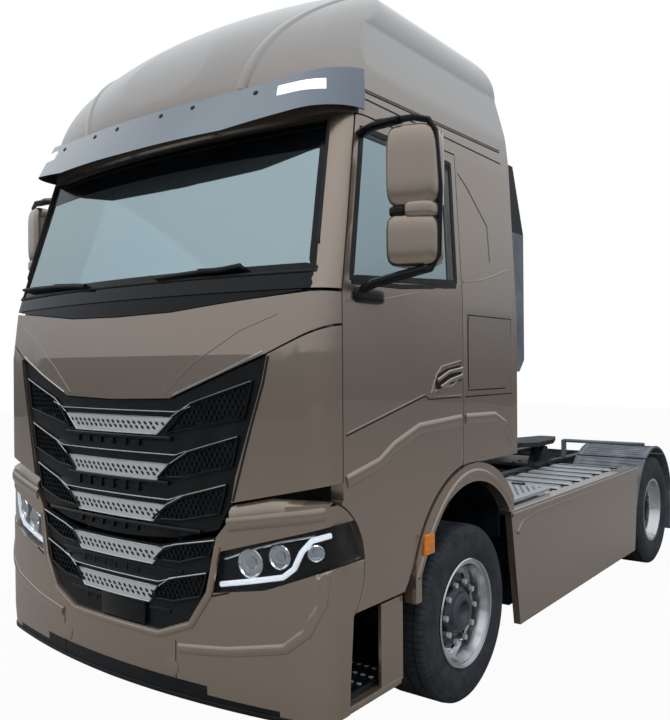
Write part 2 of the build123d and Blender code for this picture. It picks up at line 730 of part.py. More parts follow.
rear_hub_points = [
    (mount_x - 120, 78), (mount_x - 120, 130), (mount_x - 24, 130), (mount_x - 24, 142), (mount_x + 24, 142),
    (mount_x + 40, 120), (hub_end_x, 108), (hub_end_x + 14, 90), (hub_end_x + 14, 10), (hub_end_x - 6, 10), (hub_end_x - 6, 78),
]
rear_hub = turned_x(rear_hub_points, rear_y, rear_z)
flange = turned_x(
    [(mount_x - 44, 130), (mount_x - 44, 196), (mount_x - 24, 196), (mount_x - 24, 130)], rear_y, rear_z
)
rear_hub += flange
for nut in nut_circle(rear_y, rear_z, mount_x - 30, mount_x + 56):
    rear_hub += nut
rear_rim += rear_hub
write("rear_rims_left", rear_rim)
write("rear_rims_right", other_side(rear_rim))
tube_r = 70.0
spindle_r = 78.0 - seat_gap
rear_axle = rod((-(mount_x - 150), rear_y, rear_z), (mount_x - 150, rear_y, rear_z), tube_r)
spindle = rod((mount_x - 160, rear_y, rear_z), (hub_end_x - 16, rear_y, rear_z), spindle_r)
rear_axle += spindle + other_side(spindle)
rear_axle += Pos(0, rear_y, rear_z) * Sphere(190) + Pos(0, rear_y - 190, rear_z) * Rot(90, 0, 0) * Cylinder(90, 120)
air_spring_x = 400.0
beam_y0 = rear_y - 560
beam_y1 = rear_y + 560
for side in (1, -1):
    x = side * air_spring_x
    rear_axle += box(x - 40, x + 40, beam_y0, beam_y1, rear_z - 150, rear_z - 62)
bellows = []
for y in (rear_y - 450, rear_y + 450):
    x = air_spring_x + 10
    bellows.append(rod((x, y, rear_z - 62), (x, y, rear_z + 110), 105))
    bellows.append(box(x - 100, x + 60, y - 80, y + 80, rear_z + 110, rail_bottom))
for piece in bellows:
    rear_axle += piece + other_side(piece)
shaft_z = 700.0
drive_shaft = rod((0, 1156, shaft_z), (0, rear_y - 240, rear_z), 48)
write("rear_axle", rear_axle + drive_shaft)

# Tanks beside the frame, side skirts and decks
tank_front = 700.0
tank_rear = 3060.0
tank_out = 1165.0
tank_in = 520.0
tank_low = 330.0
tank_top = 985.0
tank_corner = 90.0


def tank(x0, x1, y0, y1, z0, z1, ribs):
    """A round-cornered tank with raised ribs across its top and outer side."""
    block = box(x0, x1, y0, y1, z0, z1)
    block = fillet(block.edges().filter_by(Axis.Y), tank_corner)
    for n in range(ribs):
        y = y0 + (y1 - y0) * (n + 0.5) / ribs
        band = box(x0 - 6, x1 + 6, y - 30, y + 30, z0 - 6, z1 + 6)
        block += fillet(band.edges().filter_by(Axis.Y), tank_corner + 6)
    return block


fuel_tank = tank(tank_in, tank_out, 1420, tank_rear, tank_low, tank_top, 7)
tank_arm = box(rail_outer_x, tank_in, 1600, 1680, 700, 900) + box(rail_outer_x, tank_in, 2700, 2780, 700, 900)
write("fuel_tank", fuel_tank + tank_arm)
silencer = tank(tank_in, tank_out, 1420, 2250, tank_low, tank_top, 2)
silencer_arm = box(rail_outer_x, tank_in, 1800, 1880, 700, 900)
small_tank = tank(tank_in, tank_out, 2300, tank_rear, tank_low, tank_top, 3)
small_arm = box(rail_outer_x, tank_in, 2640, 2720, 700, 900)
write("right_tanks", other_side(group(silencer + silencer_arm, small_tank + small_arm)))
battery = box(tank_in, tank_out, tank_front, 1380, tank_low + 20, 940)
battery += box(rail_outer_x, tank_in, 1000, 1080, 700, 900)
write("battery_boxes", both(battery))

skirt_in = 1205.0
skirt_points = [(556, 980), (3242, 980), (3140, 250), (684, 250)]
skirt = prism_x(skirt_points, skirt_in, half_width)
lip = prism_x([(556, 965), (3242, 965), (3242, 990), (556, 990)], 1160, half_width)
skirt_wall = prism_x([(500, 940), (3242, 955), (3140, 270), (700, 270)], skirt_in - 50, half_width - 16)
skirt = skirt + lip - prism_x([(600, 950), (3200, 950), (3110, 270), (704, 270)], skirt_in - 10, half_width - 14)
arms = box(tank_out, half_width - 14, 1530, 1570, 860, 900) + box(tank_out, half_width - 14, 2830, 2870, 860, 900)
write("side_skirts", both(skirt + arms - fuel_tank))

deck_z = 1000.0
deck = box(-tank_out, tank_out, 780, 1400, deck_z, deck_z + 22)
deck_leg = box(rail_outer_x - 60, rail_outer_x - 10, 820, 870, rail_top, deck_z)
deck += deck_leg + other_side(deck_leg)
deck_leg = box(rail_outer_x - 60, rail_outer_x - 10, 1320, 1370, rail_top, deck_z)
deck += deck_leg + other_side(deck_leg)
write("catwalk", deck)

# Cab rear support, air-line post and exhaust clutter behind the cab
hoop = box(-420, 420, 480, 560, 1290, floor_z - seat_gap)
for x in (-370, 370):
    hoop += box(x - 22, x + 22, 490, 550, rail_top, 1290)
for x in (-345, 345):
    hoop += box(x - 25, x + 25, 720, 770, rail_top, 1500)
    hoop += box(x - 25, x + 25, 560, 720, 1295, 1335)
hoop += box(-370, 370, 720, 770, 1460, 1500) + box(-150, 150, 715, 770, 1180, 1460)
write("rear_hoop", hoop)

# Fifth wheel
kingpin_r = 25.4
plate_y = rear_y - 600
plate_top = 1180.0
plate_wall = 42.0
plate_half = 430.0
pivot_z = 1090.0
plate_outline = [
    (-170, 430), (-60, 60), (-kingpin_r - 4, 0), (-kingpin_r - 4, -10), (kingpin_r + 4, -10), (kingpin_r + 4, 0),
    (60, 60), (170, 430), (330, 430), (plate_half, 120), (plate_half, -260), (300, -430), (-300, -430),
    (-plate_half, -260), (-plate_half, 120), (-330, 430),
]
plate = prism_z([(x, plate_y + y) for x, y in plate_outline], plate_top - plate_wall, plate_top)
throat = Pos(0, plate_y - 10, plate_top - plate_wall / 2) * Cylinder(kingpin_r + 0.4, 200)
plate -= throat
for x in (-340, 340):
    plate += box(x - 25, x + 25, plate_y - 80, plate_y + 80, pivot_z - 30, plate_top - plate_wall)
    plate += rod((x - 25, plate_y, pivot_z), (x + 25, plate_y, pivot_z), 38)
pivot_pin_r = 22.0
plate -= rod((-500, plate_y, pivot_z), (500, plate_y, pivot_z), pivot_pin_r + seat_gap)
write("fifth_wheel_plate", plate)
stand = box(-430, 430, plate_y - 300, plate_y + 300, rail_top, rail_top + 24)
for side in (1, -1):
    for x in (side * 340 - 45, side * 340 + 45):
        stand += prism_x(
            [(plate_y - 150, rail_top + 24), (plate_y - 40, pivot_z + 30), (plate_y + 40, pivot_z + 30),
             (plate_y + 150, rail_top + 24)], x - 14, x + 14)
    pin_x = side * 340
    stand += rod((pin_x - 50, plate_y, pivot_z), (pin_x + 50, plate_y, pivot_z), pivot_pin_r)
write("fifth_wheel_stand", stand)

# Rear mudguards with flaps, and the tail lamps
guard_r = 590.0
guard_wall = 12.0
guard_in = 600.0


def ring_piece(start, end, r0, r1, x0, x1):
    """Part of a ring about the rear axle between two angles from the rear, in degrees."""
    a0 = radians(start)
    a1 = radians(end)
    mid = (a0 + a1) / 2
    at = lambda r, a: (0, rear_y + r * cos(a), rear_z + r * sin(a))
    edges = [
        ThreePointArc(at(r1, a0), at(r1, mid), at(r1, a1)),
        Line(at(r1, a1), at(r0, a1)),
        ThreePointArc(at(r0, a1), at(r0, mid), at(r0, a0)),
        Line(at(r0, a0), at(r1, a0)),
    ]
    return Pos(x0, 0, 0) * extrude(Face(Wire(edges)), amount=x1 - x0, dir=(1, 0, 0))


guard_spans = [(10, 58), (60, 120), (122, 168)]
guards = []
for start, end in guard_spans:
    guards.append(ring_piece(start, end, guard_r, guard_r + guard_wall, guard_in, half_width))
flap_y = rear_y + (guard_r + 2) * cos(radians(10))
guards[0] += box(guard_in + 10, half_width - 10, flap_y - 8, flap_y + 4, 230, rear_z + 120)
for angle in (34, 90, 145):
    a = radians(angle)
    y = rear_y + (guard_r + guard_wall + 16) * cos(a)
    z = rear_z + (guard_r + guard_wall + 16) * sin(a)
    on_top = z - 16 > rail_top
    guards.append(rod((rail_outer_x - (40 if on_top else 0), y, z), (1150, y, z), 18))
    if on_top:
        guards.append(box(rail_outer_x - 60, rail_outer_x - 20, y - 20, y + 20, rail_top, z + 8))
write("rear_mudguards", both(group(*guards)))
lamp_y = frame_rear - 150
tail = box(500, 900, lamp_y, lamp_y + 70, 780, 930) + box(rail_outer_x, 500, lamp_y + 10, lamp_y + 60, 800, 880)
write("tail_lamps", both(tail))

# Front wheel liners and painted arch bands
band_in = 1190.0
band_out = 1262.0
band = under_arc(arch_outer, band_in, band_out) - under_arc(arch_inner, band_in - 10, band_out + 10, floor=600)
band -= box(band_in - 10, band_out + 10, 500, 700, 600, 998)
write("arch_bands", both(band))
liner = under_arc(arch_inner, 840, 1255, grow=10) - under_arc(arch_inner, 800, 1300, floor=600)
liner_low_z = 830.0
liner = liner & box(800, band_in, -900, 900, liner_low_z, 1400)
liner_top = arch_inner[1][1] - 8
liner += box(rail_outer_x - 40, 1100, -120, -80, liner_top, liner_top + 24)
liner += box(rail_outer_x - 40, rail_outer_x, -120, -80, rail_top, liner_top + 24)
write("wheel_liners", both(liner))

# Steps in front of the front wheels
step_rear = -640.0
step_front = -1060.0
step_in = 820.0
step_out = 1172.0
steps = box(step_in, step_out, step_rear - 14, step_rear, 330, 1150)
steps += box(step_in, step_in + 14, step_front, step_rear, 330, 1150)
for z in (352, 740, 1080):
    steps += box(step_in, step_out, step_front, step_rear, z, z + 26)
steps += box(rail_outer_x, step_in, -1040, -960, 700, 780)
write("steps", both(steps))
panel = box(1190, 1212, -840, -648, 330, 752) + box(step_out, 1190, -700, -648, 352, 378)
write("step_panels", both(panel))

# Mirrors on the doors
mirror_y = -1010.0
arm_low = rod((1238, -1040, 2262), (1330, -1060, 2290), 28) + rod((1330, -1060, 2290), (1372, -1030, 2360), 22)
arm_top = rod((1205, -960, 2950), (1400, -1030, 2975), 18)
housing = prism_z([(1335, -1075), (1450, -1060), (1545, -770), (1500, -745), (1330, -1020)], 2345, 2570)
housing_top = prism_z([(1335, -1075), (1455, -1060), (1555, -765), (1505, -745), (1330, -1020)], 2582, 2930)
bridge = prism_z([(1350, -1040), (1400, -1040), (1480, -800), (1440, -800)], 2560, 2590)
mirror_top = rod((1390, -1028, 2920), (1390, -1028, 2985), 20)
mirror_left = housing + housing_top + bridge + arm_low + arm_top + mirror_top - skin
write("mirror_left", mirror_left)
write("mirror_right", other_side(mirror_left))

# Side deflectors behind the cab
deflector = prism_x([(655.3, 1860), (655.3, 3185), (730, 3185), (892, 2760), (895, 1936), (820, 1860)], 1170, 1196)
write("side_deflectors", both(deflector))

# Cab interior
dash = prism_x([(-1330, 1950), (-1330, 2150), (-1120, 2175), (-930, 2080), (-900, 1900), (-1050, 1840)], -1120, 1120)
dash = dash & in_front_wall
bunk = in_wall & box(-1300, 1300, 20, back_wall_y, 1880, 1930)
write("bunk", bunk + box(-1140, 1140, 30, back_wall_y - 10, 1930, 2060))
seats = []
seat_x = 600.0
for x in (-seat_x, seat_x):
    seats.append(
        box(x - 210, x + 210, -620, -200, floor_z + floor_wall, 1700)
        + box(x - 260, x + 260, -720, -190, 1700, 1850)
        + box(x - 250, x + 250, -250, -110, 1850, 2480)
        + box(x - 150, x + 150, -230, -130, 2480, 2700)
    )
write("seats", group(*seats))
wheel_tilt = 52.0
wheel_center = (seat_x, -760.0, 2090.0)
wheel_plane = Plane(origin=wheel_center, x_dir=(1, 0, 0), z_dir=(0, cos(radians(wheel_tilt)), sin(radians(wheel_tilt))))
steering_wheel = wheel_plane * Torus(222, 17)
steering_wheel += wheel_plane * Pos(0, 0, -20) * Cylinder(62, 40)
for turn in (0, 180, 270):
    steering_wheel += wheel_plane * Rot(0, 0, turn) * Pos(136, 0, -12) * Box(160, 36, 16)
column = wheel_plane * Pos(0, 0, -40 - seat_gap - 110) * Cylinder(40, 220)
write("steering_wheel", steering_wheel)
write("dashboard", dash + column)

# Wipers on the cowl, and the cowl itself
cowl_skin = cab_body(10) - cab_body(front_panel_wall)
cowl_half = [(0, cowl_z + 6), (400, cowl_z + 14), (811, 2212), (1120, belt_z), (1120, 2300), (0, 2300)]
cowl = cowl_skin & prism_y(whole_outline(cowl_half), -1700, -1000)
write("cowl", cowl - cab_front)
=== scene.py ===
import bpy
import bmesh
import json
from math import ceil, cos, pi, radians, sin
from mathutils import Matrix, Vector
from mathutils.bvhtree import BVHTree


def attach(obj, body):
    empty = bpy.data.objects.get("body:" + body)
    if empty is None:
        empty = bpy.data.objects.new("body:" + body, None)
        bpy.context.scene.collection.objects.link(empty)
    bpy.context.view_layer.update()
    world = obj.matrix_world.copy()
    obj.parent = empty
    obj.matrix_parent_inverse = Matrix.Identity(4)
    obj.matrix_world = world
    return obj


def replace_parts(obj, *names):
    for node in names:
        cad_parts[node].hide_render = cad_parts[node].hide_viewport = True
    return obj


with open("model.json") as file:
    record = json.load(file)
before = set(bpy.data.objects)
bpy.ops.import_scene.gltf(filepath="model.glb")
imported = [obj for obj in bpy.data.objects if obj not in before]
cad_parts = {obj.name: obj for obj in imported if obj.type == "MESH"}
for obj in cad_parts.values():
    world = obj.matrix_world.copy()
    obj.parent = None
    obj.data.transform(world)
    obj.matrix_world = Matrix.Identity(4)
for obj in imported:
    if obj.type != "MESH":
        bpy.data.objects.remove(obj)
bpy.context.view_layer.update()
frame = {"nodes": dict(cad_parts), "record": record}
nodes = frame["nodes"]
scene = bpy.context.scene
slotOf = {part["node"]: part["material_slot"] for part in frame["record"]["subparts"]}
bodyOf = {node: body for body, members in frame["record"]["behaviour"]["bodies"].items() for node in members}
# the front axle's distance behind the frame's origin, in millimetres
axleMm = 1630
sides = (("left", 1), ("right", -1))
print("frame loaded:", len(nodes), "nodes")


def linearColor(hexCode):
    channels = [int(hexCode[i:i + 2], 16) / 255 for i in (1, 3, 5)]
    return [c / 12.92 if c <= 0.04045 else ((c + 0.055) / 1.055) ** 2.4 for c in channels] + [1.0]


def addNode(tree, kind, inputs=None, links=None, **settings):
    # inputs: name or index to value; links: name or index to an output socket
    node = tree.nodes.new(kind)
    for name, value in settings.items():
        setattr(node, name, value)
    for key, value in (inputs or {}).items():
        node.inputs[key].default_value = value
    for key, socket in (links or {}).items():
        tree.links.new(socket, node.inputs[key])
    return node


def addMath(tree, operation, first, second):
    # numbers or output sockets
    node = addNode(tree, "ShaderNodeMath", operation=operation)
    for n, value in enumerate((first, second)):
        if isinstance(value, float):
            node.inputs[n].default_value = value
        else:
            tree.links.new(value, node.inputs[n])
    return node.outputs["Value"]


def startMaterial(name, hexCode, roughness, metallic=0.0, **shader):
    material = bpy.data.materials.new(name)
    material.use_nodes = True
    tree = material.node_tree
    shade = tree.nodes["Principled BSDF"]
    shade.inputs["Base Color"].default_value = linearColor(hexCode)
    shade.inputs["Roughness"].default_value = roughness
    shade.inputs["Metallic"].default_value = metallic
    for key, value in shader.items():
        shade.inputs[key.replace("_", " ")].default_value = value
    material.diffuse_color = linearColor(hexCode)
    return material, tree, shade, addNode(tree, "ShaderNodeTexCoord").outputs["Object"]


def noiseOf(tree, coords, sizeMm, detail):
    settings = {"Scale": 1000 / sizeMm, "Detail": detail}
    return addNode(tree, "ShaderNodeTexNoise", settings, {"Vector": coords}).outputs["Fac"]


def addBump(tree, shade, height, strength, depthMm):
    bump = addNode(tree, "ShaderNodeBump", {"Strength": strength, "Distance": depthMm / 1000}, {"Height": height})
    tree.links.new(bump.outputs["Normal"], shade.inputs["Normal"])


def varyColor(tree, shade, coords, sizeMm, darkHex, lightHex, detail=4.0):
    ramp = addNode(tree, "ShaderNodeValToRGB", links={"Fac": noiseOf(tree, coords, sizeMm, detail)})
    for element, place, code in zip(ramp.color_ramp.elements, (0.35, 0.65), (darkHex, lightHex)):
        element.position = place
        element.color = linearColor(code)
    tree.links.new(ramp.outputs["Color"], shade.inputs["Base Color"])


def varyRoughness(tree, shade, coords, sizeMm, low, high):
    spread = addNode(tree, "ShaderNodeMapRange", {"From Min": 0.3, "From Max": 0.7, "To Min": low, "To Max": high},
                     {"Value": noiseOf(tree, coords, sizeMm, 3.0)})
    tree.links.new(spread.outputs["Result"], shade.inputs["Roughness"])


def makeFinish(name, hexCode, roughness, metallic=0.0, tones=None, gloss=None, grain=None, **shader):
    # tones: size, dark and light; gloss: size, low and high; grain: size, strength and depth; all in millimetres
    material, tree, shade, coords = startMaterial(name, hexCode, roughness, metallic, **shader)
    if tones:
        varyColor(tree, shade, coords, *tones)
    if gloss:
        varyRoughness(tree, shade, coords, *gloss)
    if grain:
        sizeMm, strength, depthMm = grain
        addBump(tree, shade, noiseOf(tree, coords, sizeMm, 2.0), strength, depthMm)
    return material


def trimFinish(name, hexCode, roughness, metallic, sizeMm, darkHex, lightHex, **shader):
    # small trim in one material, with a faint unevenness of the given size
    return makeFinish(name, hexCode, roughness, metallic, (sizeMm, darkHex, lightHex),
                      (sizeMm, roughness * 0.8, roughness * 1.2), **shader)


def bronzePaint():
    # two-coat metallic car paint: fine flakes under a glossy clear coat
    settings = {"flakeMm": 1.6, "dark": "#97887B", "light": "#B0A093", "roof": "#9A9897", "roofFrom": 3.05,
                "roofTo": 3.5}
    material, tree, shade, coords = startMaterial(
        "metallicBronzeClearCoat", "#9F8D7E", 0.27, 0.85, Coat_Weight=1.0, Coat_Roughness=0.02)
    flakes = addNode(tree, "ShaderNodeTexVoronoi", {"Scale": 1000 / settings["flakeMm"]}, {"Vector": coords})
    tone = addNode(tree, "ShaderNodeMix", links={"Factor": flakes.outputs["Distance"]}, data_type="RGBA")
    tone.inputs["A"].default_value = linearColor(settings["dark"])
    tone.inputs["B"].default_value = linearColor(settings["light"])
    # painted sky reflection: the roof faces the sky and is painted a cooler, paler tone than the rest of the same
    # paint
    axes = addNode(tree, "ShaderNodeSeparateXYZ", links={"Vector": coords})
    high = addNode(tree, "ShaderNodeMapRange", {"From Min": settings["roofFrom"], "From Max": settings["roofTo"]},
                   {"Value": axes.outputs["Z"]})
    paintedSkyRoofMix = addNode(tree, "ShaderNodeMix", links={"Factor": high.outputs["Result"]}, data_type="RGBA")
    tree.links.new(tone.outputs["Result"], paintedSkyRoofMix.inputs["A"])
    paintedSkyRoofMix.inputs["B"].default_value = linearColor(settings["roof"])
    tree.links.new(paintedSkyRoofMix.outputs["Result"], shade.inputs["Base Color"])
    return material


def tyreRubber():
    # carbon-black tyre rubber; the tread's cross cuts follow the mesh's own map, u round the wheel, and are
    # painted near-black as painted shade in the cuts
    settings = {"cuts": 84.0, "cutShare": 0.16, "grainMm": 1000 / 260, "grainShare": 0.08, "cutMm": 6.0,
                "cutShadeTone": "#060708"}
    material, tree, shade, coords = startMaterial("tyreRubber", "#1E2124", 0.7)
    varyColor(tree, shade, coords, 60, "#1B1F24", "#2B3138")
    mapped = addNode(tree, "ShaderNodeUVMap")
    axes = addNode(tree, "ShaderNodeSeparateXYZ", links={"Vector": mapped.outputs["UV"]})
    blocks = addMath(tree, "MULTIPLY", axes.outputs["X"], settings["cuts"])
    block = addMath(tree, "GREATER_THAN", addMath(tree, "FRACT", blocks, 0.0), settings["cutShare"])
    raised = addMath(tree, "MULTIPLY", block, axes.outputs["Y"])
    grain = addMath(tree, "MULTIPLY", noiseOf(tree, coords, settings["grainMm"], 2.0), settings["grainShare"])
    addBump(tree, shade, addMath(tree, "ADD", raised, grain), 0.9, settings["cutMm"])
    # painted shade: the cross cuts are coloured near-black where a real groove would lie in shade
    gap = addMath(tree, "MULTIPLY", addMath(tree, "SUBTRACT", 1.0, block), axes.outputs["Y"])
    shaded = addNode(tree, "ShaderNodeMix", links={"Factor": gap}, data_type="RGBA")
    tree.links.new(shade.inputs["Base Color"].links[0].from_socket, shaded.inputs["A"])
    shaded.inputs["B"].default_value = linearColor(settings["cutShadeTone"])
    tree.links.new(shaded.outputs["Result"], shade.inputs["Base Color"])
    return material


def brushedAluminium():
    # brushed sheet with streaks along the truck
    material, tree, shade, coords = startMaterial("brushedAluminium", "#C6CACE", 0.3, 1.0)
    stretch = addNode(tree, "ShaderNodeMapping", {"Scale": (40.0, 2.0, 400.0)}, {"Vector": coords})
    addBump(tree, shade, noiseOf(tree, stretch.outputs["Vector"], 1000, 3.0), 0.12, 0.4)
    return material


def seatCloth():
    # woven upholstery with fine threads
    settings = {"weaveMm": 12.0, "threadMm": 0.8}
    material, tree, shade, coords = startMaterial("wovenCloth", "#2C2E33", 0.85, 0.0, Sheen_Weight=0.3)
    varyColor(tree, shade, coords, 30, "#26282D", "#34373D")
    weave = addNode(tree, "ShaderNodeTexWave", {"Scale": 1000 / settings["weaveMm"], "Distortion": 1.0},
                    {"Vector": coords})
    addBump(tree, shade, weave.outputs["Fac"], 0.4, settings["threadMm"])
    return material


finishes = {
    "paint": bronzePaint(),
    # dark grey chassis enamel with road dust
    "frame_paint": makeFinish("chassisEnamel", "#26282B", 0.5, 0.0, (220, "#1D1F22", "#33363A"),
                              grain=(8.0, 0.15, 0.4)),
    # sand-cast iron
    "iron": makeFinish("castIron", "#2E3033", 0.6, 0.4, (90, "#232527", "#3A3D41"), grain=(5.0, 0.4, 0.8)),
    # forged and polished aluminium
    "alu": makeFinish("polishedAluminium", "#D6D8DB", 0.16, 1.0, gloss=(40, 0.12, 0.26)),
    "tank_alu": brushedAluminium(),
    "tyre": tyreRubber(),
    # moulded black polypropylene with a fine leather grain
    "black_plastic": makeFinish("mouldedPolypropylene", "#0C1014", 0.4, 0.0, (140, "#090C10", "#12171C"),
                                grain=(3.0, 0.25, 0.4), Specular_IOR_Level=0.25),
    # high-gloss black ABS trim
    "gloss_black": makeFinish("glossAbs", "#090C10", 0.12, gloss=(120, 0.08, 0.2), Specular_IOR_Level=0.3),
    # smoked acrylic, glossy blue-grey
    "visor_plastic": makeFinish("smokedAcrylic", "#5C6873", 0.16, 0.0, (900, "#566270", "#6D7984", 1.0),
                                Coat_Weight=1.0),
    # pressed steel, satin silver
    "plate_silver": makeFinish("satinSilver", "#D3D6D9", 0.38, 0.6, gloss=(30, 0.28, 0.42)),
    # tinted laminated glass
    "glass": makeFinish("tintedGlass", "#B9CDD3", 0.02, 0.7, gloss=(500, 0.01, 0.04), Transmission_Weight=0.85),
    # clear polycarbonate lens
    "lamp": makeFinish("clearPolycarbonate", "#EDF1F4", 0.02, gloss=(200, 0.01, 0.04), Transmission_Weight=1.0,
                       IOR=1.2),
    # ribbed red acrylic
    "red_lamp": makeFinish("redAcrylic", "#A3161A", 0.15, gloss=(20, 0.1, 0.25), grain=(12.0, 0.2, 0.8),
                           Coat_Weight=0.5),
    # soft grey interior moulding
    "trim_inside": makeFinish("interiorTrim", "#3A3E43", 0.6, 0.0, (200, "#34383D", "#42474C"),
                              grain=(2.5, 0.2, 0.3)),
    "seat_cloth": seatCloth(),
    # grey moulded mudguard plastic
    "grey_plastic": makeFinish("greyPolypropylene", "#5F666E", 0.42, 0.0, (160, "#535A62", "#6C737B"),
                               grain=(5.0, 0.15, 0.3)),
}
# chrome-plated trim and reflectors
chrome = trimFinish("chromePlate", "#E4E7EA", 0.08, 1.0, 60, "#DDE0E4", "#EBEEF0")
# dark grey painted hubs
hubEnamel = trimFinish("hubEnamel", "#41464C", 0.35, 0.3, 40, "#3A3F45", "#4A5056")
# painted shade: matt black standing in for the shade inside holes, gaps, seams and folds and under the visor
paintedShadeDark = trimFinish("paintedShadeBlack", "#07090C", 0.8, 0.0, 50, "#06080A", "#0B0E11")
# EPDM rubber seals
sealRubber = trimFinish("sealRubber", "#101214", 0.6, 0.0, 80, "#0D0F11", "#16191C")
# white light guide of the running lamp
lightGuide = trimFinish("opalLightGuide", "#F4F7FA", 0.25, 0.0, 60, "#EEF2F6", "#FBFDFF",
                        Emission_Color=linearColor("#F4F8FF"), Emission_Strength=0.55)
# amber polycarbonate
amberLens = trimFinish("amberPolycarbonate", "#D97A12", 0.15, 0.0, 30, "#CE7010", "#E48A1C", Coat_Weight=0.5)
# silvered mirror glass
mirrorGlass = trimFinish("silveredGlass", "#C9D2D8", 0.03, 1.0, 200, "#C3CCD2", "#CFD8DE")
# looks: a slot with a finish of its own
# gap and hole carry that painted shade onto seams, folds, wells and holes; seal is real black rubber
seal, gap = ("black_plastic", sealRubber), ("black_plastic", paintedShadeDark)
hole, bright = ("gloss_black", paintedShadeDark), ("alu", chrome)
print("materials made:", len(bpy.data.materials))


def slotAndFinish(look):
    # a look is a slot, or a slot with a finish of its own
    return look if isinstance(look, tuple) else (look, finishes[look])


def addPiece(name, mesh, body, look):
    piece = bpy.data.objects.new(name, mesh)
    scene.collection.objects.link(piece)
    slotName, material = slotAndFinish(look)
    if not mesh.materials:
        mesh.materials.append(material)
    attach(piece, body)
    return piece


def fillMesh(mesh, form, degrees):
    form.to_mesh(mesh)
    form.free()
    mesh.shade_smooth()
    mesh.set_sharp_from_angle(angle=radians(degrees))


def addForm(name, form, body, look, degrees=35):
    bmesh.ops.recalc_face_normals(form, faces=form.faces)
    mesh = bpy.data.meshes.new(name)
    fillMesh(mesh, form, degrees)
    return addPiece(name, mesh, body, look)


def packedForm(node):
    form = bmesh.new()
    form.from_mesh(nodes[node].data)
    bmesh.ops.remove_doubles(form, verts=form.verts, dist=0.00002)
    return form


def dressNode(node, bevelMm=0.0, extra=None, pick=None, levels=()):
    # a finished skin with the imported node's own form; pick says which faces, by place, take the extra finish,
    # and the faces are first parted by planes of (direction, millimetres)
    form = packedForm(node)
    bmesh.ops.dissolve_degenerate(form, edges=form.edges, dist=0.00001)
    if bevelMm:
        bmesh.ops.dissolve_limit(form, angle_limit=radians(0.4), verts=form.verts, edges=form.edges)
    for across, level in levels:
        bmesh.ops.bisect_plane(form, geom=form.verts[:] + form.edges[:] + form.faces[:], plane_no=across,
                               plane_co=Vector(across) * level / 1000)
    mesh = nodes[node].data.copy()
    mesh.materials.clear()
    for material in [finishes[slotOf[node]]] + ([extra] if extra else []):
        mesh.materials.append(material)
    if pick:
        for face in form.faces:
            middle = face.calc_center_median() * 1000
            face.material_index = int(pick(middle.x, middle.y + axleMm, middle.z, face.normal))
    fillMesh(mesh, form, 28)
    piece = addPiece(node + "_skin", mesh, bodyOf[node], slotOf[node])
    if bevelMm:
        soften = piece.modifiers.new("softEdges", "BEVEL")
        soften.width = bevelMm / 1000
        soften.segments = 2
        soften.limit_method = "ANGLE"
        soften.angle_limit = radians(40)
    weights = piece.modifiers.new("faceWeights", "WEIGHTED_NORMAL")
    weights.keep_sharp = True
    weights.weight = 100
    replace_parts(piece, node)


def spot(x, y, z):
    # millimetres, with y counted from the front axle, as a point of the frame
    return Vector((x / 1000, (y - axleMm) / 1000, z / 1000))


def behindAxle(point):
    return point.y * 1000 + axleMm


def treeOf(*names):
    points, faces = [], []
    for name in names:
        mesh = nodes[name].data
        start = len(points)
        points += [vertex.co.copy() for vertex in mesh.vertices]
        faces += [[start + i for i in polygon.vertices] for polygon in mesh.polygons]
    return BVHTree.FromPolygons(points, faces)


def castOn(tree, start, direction, lift):
    # where a line meets those nodes, lifted along the outward normal: (point, normal) or None
    place, normal = tree.ray_cast(start, direction)[:2]
    if place is None:
        return None
    if normal.dot(direction) > 0:
        normal = -normal
    return place + normal * lift / 1000, normal


def onFront(tree, x, z, lift=0.0):
    return castOn(tree, spot(x, -2600, z), Vector((0, 1, 0)), lift)


def onSide(tree, y, z, lift=0.0, side=1):
    return castOn(tree, spot(side * 2200, y, z), Vector((-side, 0, 0)), lift)


def densify(points, step):
    # points of a polyline at most a step apart
    found = [points[0]]
    for start, end in zip(points, points[1:]):
        count = max(1, ceil(max(abs(a - b) for a, b in zip(start, end)) / step))
        for n in range(1, count + 1):
            found.append(tuple(a + (b - a) * n / count for a, b in zip(start, end)))
    return found


def drawOn(tree, cast, points, lift=0.0, step=35.0, **where):
    found = [cast(tree, a, b, lift, **where) for a, b in densify(points, step)]
    return [hit for hit in found if hit]


def mirrored(path):
    flip = Vector((-1, 1, 1))
    return [(point * flip, normal * flip) for point, normal in path]


def joinRings(form, rings, around=False, capped=True):
    # faces between neighbouring rings of vertices; around joins the last ring to the first
    for low, high in list(zip(rings, rings[1:])) + ([(rings[-1], rings[0])] if around else []):
        for n in range(len(low)):
            m = (n + 1) % len(low)
            form.faces.new((low[n], low[m], high[m], high[n]))
    if capped and not around:
        form.faces.new(rings[0])
        form.faces.new(rings[-1])


def addRibbon(name, paths, profile, body, look, closed=False):
    # profile: (sideways, outward) in millimetres, swept along paths of (point, normal)
    form = bmesh.new()
    for path in paths:
        count = len(path)
        if count < 2:
            continue
        rings = []
        for n, (point, normal) in enumerate(path):
            before = path[n - 1][0] if n or closed else point
            after = path[(n + 1) % count][0] if n + 1 < count or closed else point
            side = (after - before).cross(normal).normalized()
            rings.append([form.verts.new(point + side * s / 1000 + normal * h / 1000) for s, h in profile])
        joinRings(form, rings, closed)
    addForm(name, form, body, look)


def addLines(name, tree, lines, profile, body, look, side=0, both=True, lift=0.0, step=35.0, closed=False):
    # ribbons on the skin along lines of (x, z) on the front, mirrored too, or of (y, z) on the given side
    cast, where = (onSide, {"side": side}) if side else (onFront, {})
    paths = []
    for points in lines:
        points = points + points[:1] if closed else points
        path = drawOn(tree, cast, points, lift, step, **where)
        path = path[:-1] if closed else path
        paths += [path, mirrored(path)] if both and not side else [path]
    addRibbon(name, paths, profile, body, look, closed)


